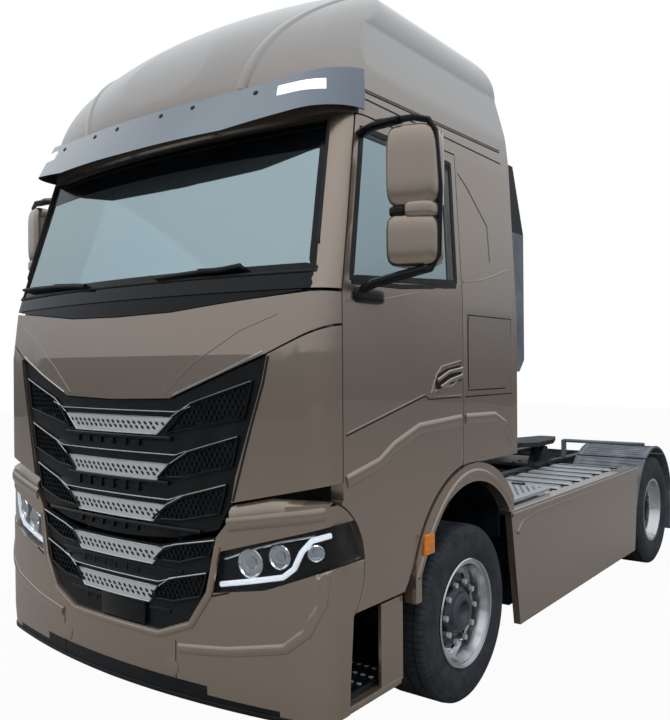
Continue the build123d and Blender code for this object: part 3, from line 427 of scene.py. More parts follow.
def flatProfile(width, height, sink=1.0):
    half = width / 2
    edge = min(height * 0.5, width * 0.25)
    return [(-half, -sink), (-half, height - edge), (-half + edge, height), (half - edge, height),
            (half, height - edge), (half, -sink)]


def roundProfile(across, along, count=10):
    turns = [2 * pi * n / count for n in range(count)]
    return [(across * cos(turn), along * sin(turn)) for turn in turns]


def bothSides(blocks):
    return blocks + [(-x1, -x0, y0, y1, z0, z1) for x0, x1, y0, y1, z0, z1 in blocks]


def addBlocks(name, blocks, body, look, roundMm=0.0):
    # blocks of (x0, x1, y0, y1, z0, z1) in millimetres
    form = bmesh.new()
    for x0, x1, y0, y1, z0, z1 in blocks:
        corners = ((x0, y0), (x1, y0), (x1, y1), (x0, y1))
        joinRings(form, [[form.verts.new(spot(x, y, z)) for x, y in corners] for z in (z0, z1)])
    if roundMm:
        bmesh.ops.recalc_face_normals(form, faces=form.faces)
        bmesh.ops.bevel(form, geom=form.edges[:], offset=roundMm / 1000, segments=2, affect="EDGES", profile=0.5)
    return addForm(name, form, body, look)


def latheForm(form, profile, y, z, segments, marks=None):
    # a closed outline of (x, radius) turned about the line along X at y, z; marks fill the map's second axis
    layer = form.loops.layers.uv.verify()
    rings = []
    for n in range(segments):
        turn = 2 * pi * n / segments
        rings.append([form.verts.new(spot(x, y + r * cos(turn), z + r * sin(turn))) for x, r in profile])
    for n in range(segments):
        low, high = rings[n], rings[(n + 1) % segments]
        for i in range(len(profile)):
            j = (i + 1) % len(profile)
            face = form.faces.new((low[i], low[j], high[j], high[i]))
            for loop, (u, k) in zip(face.loops, ((n, i), (n, j), (n + 1, j), (n + 1, i))):
                loop[layer].uv = (u / segments, marks[k] if marks else 0.0)


def dialForm(form, place, normal, profile, segments):
    # a round piece of (radius, outward) points about a normal
    axis = normal.normalized()
    right = axis.cross(Vector((0, 0, 1)) if abs(axis.z) < 0.9 else Vector((1, 0, 0))).normalized()
    up = right.cross(axis)
    spokes = [right * cos(turn) + up * sin(turn) for turn in (2 * pi * n / segments for n in range(segments))]
    joinRings(form, [[form.verts.new(place + spoke * radius / 1000 + axis * out / 1000) for spoke in spokes]
                     for radius, out in profile])


def swellForm(form, x0, x1, y0, y1, z0, z1, power, cuts=9, lean=0.0):
    # a box with swelling faces and round edges; lean moves y with x, in mm per mm
    start = len(form.verts)
    cube = bmesh.ops.create_cube(form, size=2.0)
    edges = list({edge for vertex in cube["verts"] for edge in vertex.link_edges})
    bmesh.ops.subdivide_edges(form, edges=edges, cuts=cuts, use_grid_fill=True)
    form.verts.ensure_lookup_table()
    for vertex in form.verts[start:]:
        u, v, w = vertex.co / sum(abs(c) ** power for c in vertex.co) ** (1 / power)
        x, y, z = (((low + high) / 2 + share * (high - low) / 2) for low, high, share in
                   ((x0, x1, u), (y0, y1, v), (z0, z1, w)))
        vertex.co = spot(x, y + (x - x0) * lean, z)


def repeatTree(hollow):
    # Geometry Nodes: one small prism or ring on every point, turned by the point's own angles
    tree = bpy.data.node_groups.new("repeatedRings" if hollow else "repeatedPrisms", "GeometryNodeTree")
    inputs = {"Points": "Geometry", "Width": "Float", "Height": "Float", "Depth": "Float", "Wall": "Float",
              "Sides": "Int", "Seed": "Int", "Finish": "Material"}
    for label, kind in inputs.items():
        tree.interface.new_socket(label, in_out="INPUT", socket_type="NodeSocket" + kind)
    tree.interface.new_socket("Repeated", in_out="OUTPUT", socket_type="NodeSocketGeometry")
    given = addNode(tree, "NodeGroupInput").outputs
    raised = addNode(tree, "ShaderNodeCombineXYZ", links={"Z": addMath(tree, "MULTIPLY", given["Depth"], 0.5)})
    if hollow:
        circle = addNode(tree, "GeometryNodeCurvePrimitiveCircle", links={
            "Resolution": given["Sides"], "Radius": addMath(tree, "MULTIPLY", given["Width"], 0.5)})
        section = addNode(tree, "GeometryNodeCurvePrimitiveQuadrilateral",
                          links={"Width": given["Wall"], "Height": given["Depth"]})
        shape = addNode(tree, "GeometryNodeCurveToMesh",
                        links={"Curve": circle.outputs["Curve"], "Profile Curve": section.outputs["Curve"]})
        sized = {}
    else:
        shape = addNode(tree, "GeometryNodeMeshCylinder", {"Radius": 0.5, "Depth": 1.0},
                        {"Vertices": given["Sides"]})
        size = addNode(tree, "ShaderNodeCombineXYZ",
                       links={"X": given["Width"], "Y": given["Height"], "Z": given["Depth"]})
        sized = {"Scale": size.outputs["Vector"]}
    placed = addNode(tree, "GeometryNodeTransform", links={
        "Geometry": shape.outputs["Mesh"], "Translation": raised.outputs["Vector"], **sized})
    angles = addNode(tree, "GeometryNodeInputNamedAttribute", {"Name": "turn"}, data_type="FLOAT_VECTOR")
    turned = addNode(tree, "FunctionNodeEulerToRotation", links={"Euler": angles.outputs["Attribute"]})
    spread = addNode(tree, "FunctionNodeRandomValue", {2: 0.985, 3: 1.0}, {"Seed": given["Seed"]},
                     data_type="FLOAT")
    copies = addNode(tree, "GeometryNodeInstanceOnPoints", links={
        "Points": given["Points"], "Instance": placed.outputs["Geometry"], "Rotation": turned.outputs["Rotation"],
        "Scale": spread.outputs[1]})
    real = addNode(tree, "GeometryNodeRealizeInstances", links={"Geometry": copies.outputs["Instances"]})
    finish = addNode(tree, "GeometryNodeSetMaterial",
                     links={"Geometry": real.outputs["Geometry"], "Material": given["Finish"]})
    addNode(tree, "NodeGroupOutput", links={"Repeated": finish.outputs["Geometry"]})
    return tree


repeatTrees = {False: repeatTree(False), True: repeatTree(True)}


def addRepeated(name, places, settings, body, look, hollow=False):
    # places: (point, normal, turn in degrees); settings: the node group's inputs, sizes in millimetres
    points = bpy.data.meshes.new(name + "Points")
    points.from_pydata([place for place, normal, turn in places], [], [])
    angles = points.attributes.new("turn", "FLOAT_VECTOR", "POINT")
    for item, (place, normal, turn) in zip(angles.data, places):
        axis = normal.normalized()
        helper = Vector((0, 0, 1)) if abs(axis.z) < 0.9 else Vector((0, 1, 0))
        right = helper.cross(axis).normalized()
        basis = Matrix((right, axis.cross(right), axis)).transposed() @ Matrix.Rotation(radians(turn), 3, "Z")
        item.vector = basis.to_euler()
    carrier = bpy.data.objects.new(name + "Carrier", points)
    scene.collection.objects.link(carrier)
    modifier = carrier.modifiers.new("repeat", "NODES")
    modifier.node_group = repeatTrees[hollow]
    given = {key: value / 1000 if isinstance(value, float) else value for key, value in settings.items()}
    given.update({"Finish": slotAndFinish(look)[1], "Seed": 7})
    for item in modifier.node_group.interface.items_tree:
        if item.in_out == "INPUT" and item.name in given:
            modifier[item.identifier] = given[item.name]
    settled = carrier.evaluated_get(bpy.context.evaluated_depsgraph_get())
    mesh = bpy.data.meshes.new_from_object(settled)
    mesh.name = name
    bpy.data.objects.remove(carrier)
    mesh.shade_flat()
    addPiece(name, mesh, body, look)


def depthIn(x, z, outline):
    # how far a point lies inside a polygon from its edge, and 0 outside it
    found, nearest = False, 1e9
    for (x0, z0), (x1, z1) in zip(outline, outline[1:] + outline[:1]):
        if (z0 > z) != (z1 > z) and x < (x1 - x0) * (z - z0) / (z1 - z0) + x0:
            found = not found
        run, reach = Vector((x1 - x0, z1 - z0)), Vector((x - x0, z - z0))
        along = max(0.0, min(1.0, reach.dot(run) / run.length_squared))
        nearest = min(nearest, (reach - run * along).length)
    return nearest if found else 0.0


def gridIn(outline, start, count, step, margin):
    # staggered rows of points in an outline, more than a margin from its edge
    points = [(start[0] + (column + row % 2 / 2) * step[0], start[1] + row * step[1])
              for row in range(count[1]) for column in range(count[0])]
    return [(x, z) for x, z in points if depthIn(x, z, outline) > margin]


def placesOn(tree, points, lift, turn=0.0):
    hits = [onFront(tree, x, z, lift) for x, z in points]
    return [(*hit, turn) for hit in hits if hit]


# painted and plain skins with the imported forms
level, sideways = (0, 0, 1), (1, 0, 0)
softened = {"steps": 4.0, "step_panels": 3.0, "battery_boxes": 12.0, "catwalk": 2.0, "rear_hoop": 5.0,
            "fifth_wheel_plate": 5.0, "fifth_wheel_stand": 3.0, "dashboard": 12.0, "bunk": 6.0, "engine": 14.0,
            "knuckle_left": 4.0, "knuckle_right": 4.0, "side_deflectors": 4.0}
twoTone = {
    # painted shade: the underside and the inner wall are painted dark, as the shade under the visor
    "sun_visor": {"extra": paintedShadeDark, "pick": lambda x, y, z, normal: normal.y > 0.15 or normal.z < -0.75},
    # a black lip under the painted bumper, deepest in the middle
    "bumper": {"extra": finishes["black_plastic"],
               "pick": lambda x, y, z, normal: z < 420 and abs(x) < 640 or z < 378 and abs(x) < 1030,
               "levels": ((level, 420), (level, 378), (sideways, 640), (sideways, -640), (sideways, 1030),
                          (sideways, -1030))},
    # black below the windscreen, between the pillars
    "cab_front": {"extra": finishes["gloss_black"], "pick": lambda x, y, z, normal: z < 2333 and abs(x) < 1165,
                  "levels": ((level, 2333),)},
    "side_deflectors": {"extra": finishes["grey_plastic"], "pick": lambda x, y, z, normal: z < 2760,
                        "levels": ((level, 2760),)},
}


def hubPick(y0, z0, radius):
    return lambda x, y, z, normal: ((y - y0) ** 2 + (z - z0) ** 2) ** 0.5 < radius


for stem, hub in {"front_rim_": (0, 498, 212), "rear_rims_": (3800, 508, 150)}.items():
    for label, side in sides:
        twoTone[stem + label] = {"extra": hubEnamel, "pick": hubPick(*hub)}
rebuilt = {"front_tyre_left", "front_tyre_right", "rear_tyres_left", "rear_tyres_right", "headlamps", "seats",
           "mirror_left", "mirror_right", "bunk", "tail_lamps"}
for node in nodes:
    if node not in rebuilt:
        dressNode(node, softened.get(node, 0.0), **twoTone.get(node, {}))
print("nodes dressed")


# tyres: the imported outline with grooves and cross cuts, from rows of (middle, width, radius, y)
tyreSettings = {"front_tyre_": [(1053, 380, 498, 0)],
                "rear_tyres_": [(1087, 312, 508, 3800), (737, 312, 508, 3800)]}


def tyreOutline(middle, width, radius):
    # (x, radius) from one bead over the tread to the other, with the tread marked for the cross cuts
    half = width / 2
    wall = 296
    rise = radius - wall
    flank = [(8, 0.2), (6, 0.22), (6, 0.3), (1, 0.36), (0, 0.5), (3, 0.64), (9, 0.74), (9, 0.78)]
    beads = [(half - 38, wall), (half - 20, wall + 8)]
    beads += [(half - inset, wall + rise * share) for inset, share in flank]
    beads += [(half - 14, radius - 40), (half - 26, radius - 14), (half - 36, radius - 6)]
    tread = []
    for place in (0.62, 0.22, -0.22, -0.62):
        x = place * half
        tread += [(x + 8, radius - 2), (x + 5, radius - 15), (x - 5, radius - 15), (x - 8, radius - 2)]
    plain = [0.0] * (len(beads) - 2)
    outline = beads + tread + [(-x, r) for x, r in reversed(beads)]
    return [(middle + x, r) for x, r in outline], plain + [1.0] * (len(tread) + 4) + plain


for stem, rows in tyreSettings.items():
    for label, side in sides:
        form = bmesh.new()
        for middle, width, radius, y in rows:
            outline, marks = tyreOutline(side * middle, width, radius)
            latheForm(form, outline, y, radius, 128, marks)
        node = stem + label
        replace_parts(addForm(node + "_tread", form, bodyOf[node], "tyre", degrees=32), node)
print("tyres made")

# rims: nut caps, and a bright ring on every front wheel
rimSettings = {"front_rim_": (1178, 0, 498), "rear_rims_": (985, 3800, 508)}
nutSettings = {"Width": 34.0, "Height": 34.0, "Depth": 20.0, "Sides": 6}
for stem, (x, y, z) in rimSettings.items():
    for label, side in sides:
        node = stem + label
        turns = [2 * pi * n / 10 for n in range(10)]
        places = [(spot(side * x, y + 167.5 * cos(turn), z + 167.5 * sin(turn)), Vector((side, 0, 0)), 0.0)
                  for turn in turns]
        addRepeated(node + "_nuts", places, nutSettings, bodyOf[node], ("alu", finishes["plate_silver"]))
        if "front" in stem:
            form = bmesh.new()
            ring = [(1232, 292), (1236, 300), (1230, 306), (1218, 304), (1216, 292)]
            latheForm(form, [(side * a, r) for a, r in ring], y, z, 96)
            addForm(node + "_lip", form, bodyOf[node], "alu", degrees=30)
print("rims trimmed")


# grille: hexagon mesh on wings outlined in (x, z), their bright edge lines, punched plates of (top z, half width
# above, half width below), gloss bars of (z, half width) and thin lines turned up at both ends (outer, inner)
lowerTree = treeOf("grille_lower")
plateTree = treeOf("grille_plates_upper", "grille_plates_lower")
flapTree = treeOf("front_flap")
noseTree = treeOf("bumper")
grilles = {
    "flap": {
        "name": "upper", "tree": treeOf("grille_upper"), "ribMm": 12.0, "barMm": 16,
        "wings": [[(392, 1587), (494, 1611), (848, 1670), (894, 1837), (553, 1732), (474, 1670)],
                  [(333, 1368), (492, 1381), (784, 1448), (819, 1584), (533, 1503), (425, 1447)],
                  [(295, 1166), (490, 1176), (712, 1226), (754, 1360), (505, 1292), (396, 1237)]],
        "edges": [[(894, 1841), (553, 1737), (430, 1668)], [(819, 1588), (533, 1508), (419, 1443)],
                  [(754, 1364), (505, 1297), (392, 1244)]],
        "plates": [(1664, 430, 328), (1439, 419, 322), (1240, 392, 300)],
        "bars": [(1560, 424), (1345, 405), (1130, 640)],
        "cups": [((553, 1718), (454, 1691)), ((526, 1509), (453, 1485)), ((505, 1298), (410, 1268))],
    },
    "chassis": {
        "name": "lower", "tree": lowerTree, "ribMm": 4.0, "barMm": 5,
        "wings": [[(300, 967), (475, 974), (649, 1025), (686, 1098), (449, 1052), (366, 1022)],
                  [(276, 778), (433, 782), (597, 827), (636, 940), (406, 884), (335, 844)]],
        "edges": [[(686, 1102), (449, 1057), (367, 1034)], [(636, 944), (406, 889), (335, 843)]],
        "plates": [(1030, 367, 290), (839, 335, 262)],
        "bars": [(925, 480), (725, 400)],
        "cups": [((461, 903), (336, 865))],
    },
}
# pitch and margin of the hexagon cells, and the measures of a plate with the ribs and windows hung under it
cellPitch, cellMargin = (30, 26), 15
plate = {"highMm": 88, "holePitch": (41, 21.5), "holeFrom": (-451, 76), "marginMm": 14, "ribDropMm": 118}
meshSettings = {"Width": 34.0, "Height": 34.0, "Depth": 7.0, "Wall": 3.6, "Sides": 6}
holeSettings = {"Width": 27.0, "Height": 13.0, "Depth": 1.2, "Sides": 8}
windowSettings = {"Width": 112.0, "Height": 56.0, "Depth": 1.0, "Sides": 4}
for body, grille in grilles.items():
    tree, cells = grille["tree"], []
    for outline in grille["wings"]:
        xs, zs = zip(*outline)
        count = [ceil((max(span) - min(span)) / pitch) + 1 for span, pitch in zip((xs, zs), cellPitch)]
        cells += gridIn(outline, (min(xs), min(zs)), count, cellPitch, cellMargin)
    cells = [(side * x, z) for x, z in cells for side in (1, -1)]
    addRepeated(grille["name"] + "GrilleMesh", placesOn(tree, cells, 1.0, 30.0), meshSettings, body,
                "black_plastic", hollow=True)
    addLines(grille["name"] + "WingFrames", tree, grille["wings"], flatProfile(12, 15), body, "gloss_black",
             lift=1.0, closed=True)
    addLines(body + "BrightLines", tree, grille["edges"], flatProfile(6, 4, 3.0), body, bright, lift=13.0)

    holes, rims, windows, ribs = [], [], [], []
    for topZ, topHalf, lowHalf in grille["plates"]:
        lowZ, ribZ = topZ - plate["highMm"], topZ - plate["ribDropMm"]
        outline = [(-lowHalf, lowZ), (lowHalf, lowZ), (topHalf, topZ), (-topHalf, topZ)]
        rims.append([(x * 0.995, z + (1.5 if z < topZ else -1.5)) for x, z in outline])
        start = (plate["holeFrom"][0], topZ - plate["holeFrom"][1])
        holes += gridIn(outline, start, (23, 4), plate["holePitch"], plate["marginMm"])
        pitch = lowHalf / 3 * 0.92
        ribs += [((n - 3) * pitch, ribZ) for n in range(6)]
        windows += [((n - 2.5) * pitch, ribZ) for n in range(6)]
    # painted shade: the punched holes and the windows under the ribs are dark discs and panels on the closed plate
    addRepeated(body + "PlateHoles", placesOn(plateTree, holes, 0.2, -35.0), holeSettings, body, hole)
    addLines(body + "PlateRims", plateTree, rims, flatProfile(5, 3), body, bright, both=False, closed=True)
    addRepeated(body + "GrilleWindows", placesOn(tree, windows, 0.5), windowSettings, body, hole)
    addRepeated(body + "GrilleRibs", placesOn(tree, ribs, 0.5),
                {"Width": 14.0, "Height": 62.0, "Depth": grille["ribMm"], "Sides": 8}, body, "gloss_black")
    bars = [[(-half, z), (half, z)] for z, half in grille["bars"]]
    addLines(body + "CrossBars", tree, bars, flatProfile(20, grille["barMm"]), body, "gloss_black", both=False)
    cups = [[(-x1, z1), (-x0, z0), (x0, z0), (x1, z1)] for (x1, z1), (x0, z0) in grille["cups"]]
    addLines(body + "CupLines", tree, cups, flatProfile(5, 5, 15.0), body, bright, both=False, lift=15.0)
plateFront = behindAxle(onFront(lowerTree, 72, 695)[0])
addBlocks("plateCarrier", [(-101, 246, plateFront - 16, plateFront + 6, 639, 752)], "chassis", "gloss_black", 5.0)
print("grille made")


# headlamps: a dark pocket with bowls and a light guide behind a clear lens
def outwardVerts(form):
    found = {}
    for face in form.faces:
        middle = face.calc_center_median()
        away = Vector((middle.x * 0.55, -1.0, 0)).normalized()
        if face.normal.dot(away) > 0.55:
            for vertex in face.verts:
                found.setdefault(vertex, []).append(face.normal.copy())
    return {vertex: sum(normals, Vector()).normalized() for vertex, normals in found.items()}


lampSettings = {"pocketMm": 30.0, "lensMm": 4.0, "bowls": [(866, 1012, 68), (1016, 1056, 56), (1172, 1082, 38)]}
form = packedForm("headlamps")
form.normal_update()
lensForm = bmesh.new()
outward = outwardVerts(form)
outer, inner = {}, {}
for vertex, normal in outward.items():
    outer[vertex] = lensForm.verts.new(vertex.co)
    inner[vertex] = lensForm.verts.new(vertex.co - normal * lampSettings["lensMm"] / 1000)
for face in form.faces:
    if all(vertex in outer for vertex in face.verts):
        lensForm.faces.new([outer[vertex] for vertex in face.verts])
        lensForm.faces.new([inner[vertex] for vertex in reversed(face.verts)])
behind = {outer[vertex]: inner[vertex] for vertex in outer}
for edge in [edge for edge in lensForm.edges if edge.is_boundary]:
    a, b = edge.verts
    if a in behind and b in behind:
        lensForm.faces.new((a, b, behind[b], behind[a]))
for vertex, normal in outward.items():
    vertex.co -= normal * lampSettings["pocketMm"] / 1000
pocket = addForm("headlamp_pocket", form, "chassis", "gloss_black", degrees=30)
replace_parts(pocket, "headlamps")
addForm("headlamp_lens", lensForm, "chassis", "lamp", degrees=30)

pocketTree = BVHTree.FromPolygons([vertex.co.copy() for vertex in pocket.data.vertices],
                                  [list(polygon.vertices) for polygon in pocket.data.polygons])
bowlForm, eyeForm = bmesh.new(), bmesh.new()
for x, z, radius in lampSettings["bowls"]:
    for place, normal, turn in placesOn(pocketTree, [(x, z), (-x, z)], 0.0):
        dialForm(bowlForm, place, normal, [(radius, -3), (radius, 12), (radius - 4, 15), (radius - 8, 12),
                                            (radius - 12, 4), (radius * 0.5, 1), (radius * 0.3, 2)], 36)
        dialForm(eyeForm, place, normal, [(radius * 0.42, 0), (radius * 0.42, 6), (radius * 0.3, 11),
                                           (radius * 0.1, 13)], 28)
addForm("headlamp_bowls", bowlForm, "chassis", ("lamp", chrome))
addForm("headlamp_eyes", eyeForm, "chassis", "lamp")
guide = [(700, 896), (868, 930), (1030, 966), (1085, 1010), (1120, 1085), (1160, 1138), (1222, 1160)]
edge = [(722, 1016), (860, 1070), (1020, 1122), (1170, 1160)]
addLines("runningLight", pocketTree, [guide], flatProfile(24, 12, 4.0), "chassis", ("lamp", lightGuide), lift=4.0,
         step=18.0)
addLines("lampBrow", pocketTree, [edge], flatProfile(10, 10, 3.0), "chassis", ("lamp", chrome), lift=2.0,
         step=25.0)
print("headlamps made")

# tail lamps: a black box with three red lenses and a red top
tailBoxes = bothSides([(500, 900, 4600, 4652, 780, 930), (392, 500, 4610, 4660, 800, 880)])
for label, boxes in (("left", tailBoxes[:2]), ("right", tailBoxes[2:])):
    piece = addBlocks("tail_lamp_%s_box" % label, boxes, "chassis", "black_plastic", 6.0)
    if label == "left":
        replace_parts(piece, "tail_lamps")
lenses = [(x0, x1, 4650, 4668, 792, 918) for x0, x1 in ((512, 630), (636, 760), (766, 888))]
addBlocks("tailLenses", bothSides(lenses), "chassis", "red_lamp", 5.0)
addBlocks("tailLampTops", bothSides([(505, 895, 4602, 4650, 928, 934)]), "chassis", "red_lamp", 2.0)
print("tail lamps made")


# mirrors: painted shells, black hoop, arms and base, silvered glass at the back
mirrorSettings = {
    "lean": 0.3,
    "shells": [(1376, 1586, -1055, -905, 2346, 2586, 5.0), (1380, 1590, -1060, -905, 2610, 2984, 5.0),
               (1462, 1586, -1035, -912, 2560, 2640, 4.0)],
    "base": [(1195, 1275, -1112, -870, 2192, 2262, 5.0), (1385, 1470, -1030, -950, 2572, 2622, 4.0)],
    # x and y of the shells' inner corner at the back
    "corner": (1376, -905),
    "glasses": [(1400, 1572, 2366, 2566), (1402, 1576, 2630, 2962)],
    "hoop": [(1215, -985, 3004), (1330, -1015, 3014), (1500, -985, 3012), (1560, -960, 2996), (1582, -940, 2950),
             (1584, -905, 2700), (1580, -915, 2400), (1558, -945, 2335), (1480, -990, 2312), (1330, -1050, 2272),
             (1238, -1050, 2240)],
    "arms": [[(1210, -985, 2990), (1300, -1008, 3004), (1440, -1002, 3010)],
             [(1245, -1052, 2244), (1330, -1048, 2282), (1440, -1010, 2310), (1540, -965, 2334)]],
}


def swellForms(side, rows, lean=0.0):
    form = bmesh.new()
    for *box, power in rows:
        swellForm(form, *box, power, lean=lean)
    for vertex in form.verts:
        vertex.co.x *= side
    return form


def barPath(points, side):
    found = []
    for n, (x, y, z) in enumerate(points):
        before, after = points[max(n - 1, 0)], points[min(n + 1, len(points) - 1)]
        along = (spot(*after) - spot(*before)).normalized()
        helper = Vector((0, 1, 0)) if abs(along.y) < 0.8 else Vector((1, 0, 0))
        found.append((spot(side * x, y, z), (helper - along * helper.dot(along)).normalized()))
    return found


backX, backY = mirrorSettings["corner"]
for label, side in sides:
    name, body = "mirror_%s_" % label, label + "_door"
    shells = swellForms(side, mirrorSettings["shells"], mirrorSettings["lean"])
    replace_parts(addForm(name + "shells", shells, body, "paint", degrees=60), "mirror_" + label)
    form = bmesh.new()
    for x0, x1, z0, z1 in mirrorSettings["glasses"]:
        y0, y1 = (backY + (x - backX) * mirrorSettings["lean"] + gap for x, gap in ((x0, 2), (x1, -8)))
        corners = [(side * x0, y0, z0), (side * x1, y1, z0), (side * x1, y1, z1), (side * x0, y0, z1)]
        joinRings(form, [[form.verts.new(spot(x, y - deep, z)) for x, y, z in corners] for deep in (0, 12)])
    addForm(name + "glass", form, body, ("glass", mirrorGlass))
    addRibbon(name + "hoop", [barPath(mirrorSettings["hoop"], side)], roundProfile(16, 16), body, "gloss_black")
    arms = [barPath(points, side) for points in mirrorSettings["arms"]]
    addRibbon(name + "arms", arms, roundProfile(19, 19 * 1.7), body, "gloss_black")
    addForm(name + "base", swellForms(side, mirrorSettings["base"]), body, "gloss_black", degrees=60)
print("mirrors made")

# doors and cab sides, in lines of (y, z): window frames, creases, handles, seams, gutters and the hatch; the dark
# folds, seams, handle well and grooves are painted shade
shoulderRoll = [(-34, -3), (-28, 4), (-10, 9), (10, 8), (28, 3), (34, -3)]
fine = {"step": 18.0}
doorRows = (
    ("window_%s_frame", [[(-1118, 2303), (-975, 3020), (-137, 3020), (-137, 2360)]],
     flatProfile(30, 5, 3.0), seal, {"closed": True}),
    ("window_%s_sill", [[(-1118, 2286), (-700, 2294), (-137, 2340)]],
     flatProfile(24, 4, 3.0), seal, {}),
    ("door_%s_crease", [[(-1160, 2196), (-851, 2223), (-253, 2327), (-80, 2358)],
                        [(-1165, 1600), (-480, 1754), (-440, 1736), (-90, 1736)]],
     flatProfile(9, 3.5, 2.0), "paint", {}),
    ("door_%s_fold", [[(-1168, 1591), (-480, 1745), (-440, 1727), (-88, 1727)]],
     flatProfile(6, 1.2, 2.0), gap, {}),
    ("door_%s_shoulder", [[(-1165, 1385), (-900, 1440), (-770, 1508), (-540, 1580), (-90, 1600)]],
     shoulderRoll, "paint", fine),
    ("handle_%s_well", [[(-372, 1800), (-250, 1842), (-92, 1862)]],
     flatProfile(88, 1.6, 2.0), hole, fine),
    ("handle_%s_rim",
     [[(-421, 1763), (-367, 1853), (-313, 1895), (-100, 1927), (-66, 1899), (-90, 1844), (-194, 1791)]],
     flatProfile(12, 7, 3.0), "paint", {"step": 18.0, "closed": True}),
    ("handle_%s_grip", [[(-366, 1822), (-240, 1866), (-84, 1884)], [(-330, 1786), (-220, 1822), (-88, 1846)]],
     flatProfile(24, 15, 3.0), "paint", fine),
)
sideRows = (
    ("side_%s_seams", [[(-40, 1727), (300, 1727), (640, 1727)]], flatProfile(7, 1.5, 2.0), gap, {}),
    ("side_%s_gutters", [[(-949, 3222), (-200, 3236), (535, 3249)]], flatProfile(14, 6, 3.0), "paint", {}),
    # painted shade: the grooves are drawn as dark rubber-toned strips, the shade in the grooves
    ("side_%s_grooves", [[(-950, 3170), (-200, 3166), (534, 3161)], [(-949, 3206), (-200, 3219), (535, 3232)]],
     flatProfile(9, 1.4, 3.0), seal, {}),
    ("side_%s_ridges", [[(-40, 2990), (60, 2930), (298, 2734), (308, 2520)],
                        [(-40, 2372), (188, 2402), (375, 2448), (560, 2500)]],
     flatProfile(11, 4.0, 2.0), "paint", {}),
    ("side_%s_shoulder", [[(-40, 1601), (330, 1594), (470, 1540), (560, 1430)]], shoulderRoll, "paint", fine),
    ("hatch_%s_seam", [[(-2, 1800), (-2, 2150), (12, 2180), (40, 2188), (526, 2188), (556, 2178), (568, 2150),
                        (568, 1800), (556, 1772), (526, 1762), (40, 1762), (12, 1772)]],
     flatProfile(8, 0.8, 2.0), gap, {"closed": True}),
)
doorTree = treeOf("door_left", "door_right", "cab_sides", "locker_door_left", "locker_door_right", "cab_roof")
archTree = treeOf("arch_bands")
for label, side in sides:
    for body, rows in ((label + "_door", doorRows), ("cab", sideRows)):
        for name, lines, profile, look, settings in rows:
            addLines(name % label, doorTree, lines, profile, body, look, side=side, **settings)
    x = onSide(archTree, -482, 980, 1.0, side)[0].x * 1000
    x0, x1 = sorted((x - side * 3, x + side * 14))
    addBlocks("marker_" + label, [(x0, x1, -530, -434, 930, 1034)], "chassis", ("lamp", amberLens), 6.0)
print("doors and sides trimmed")

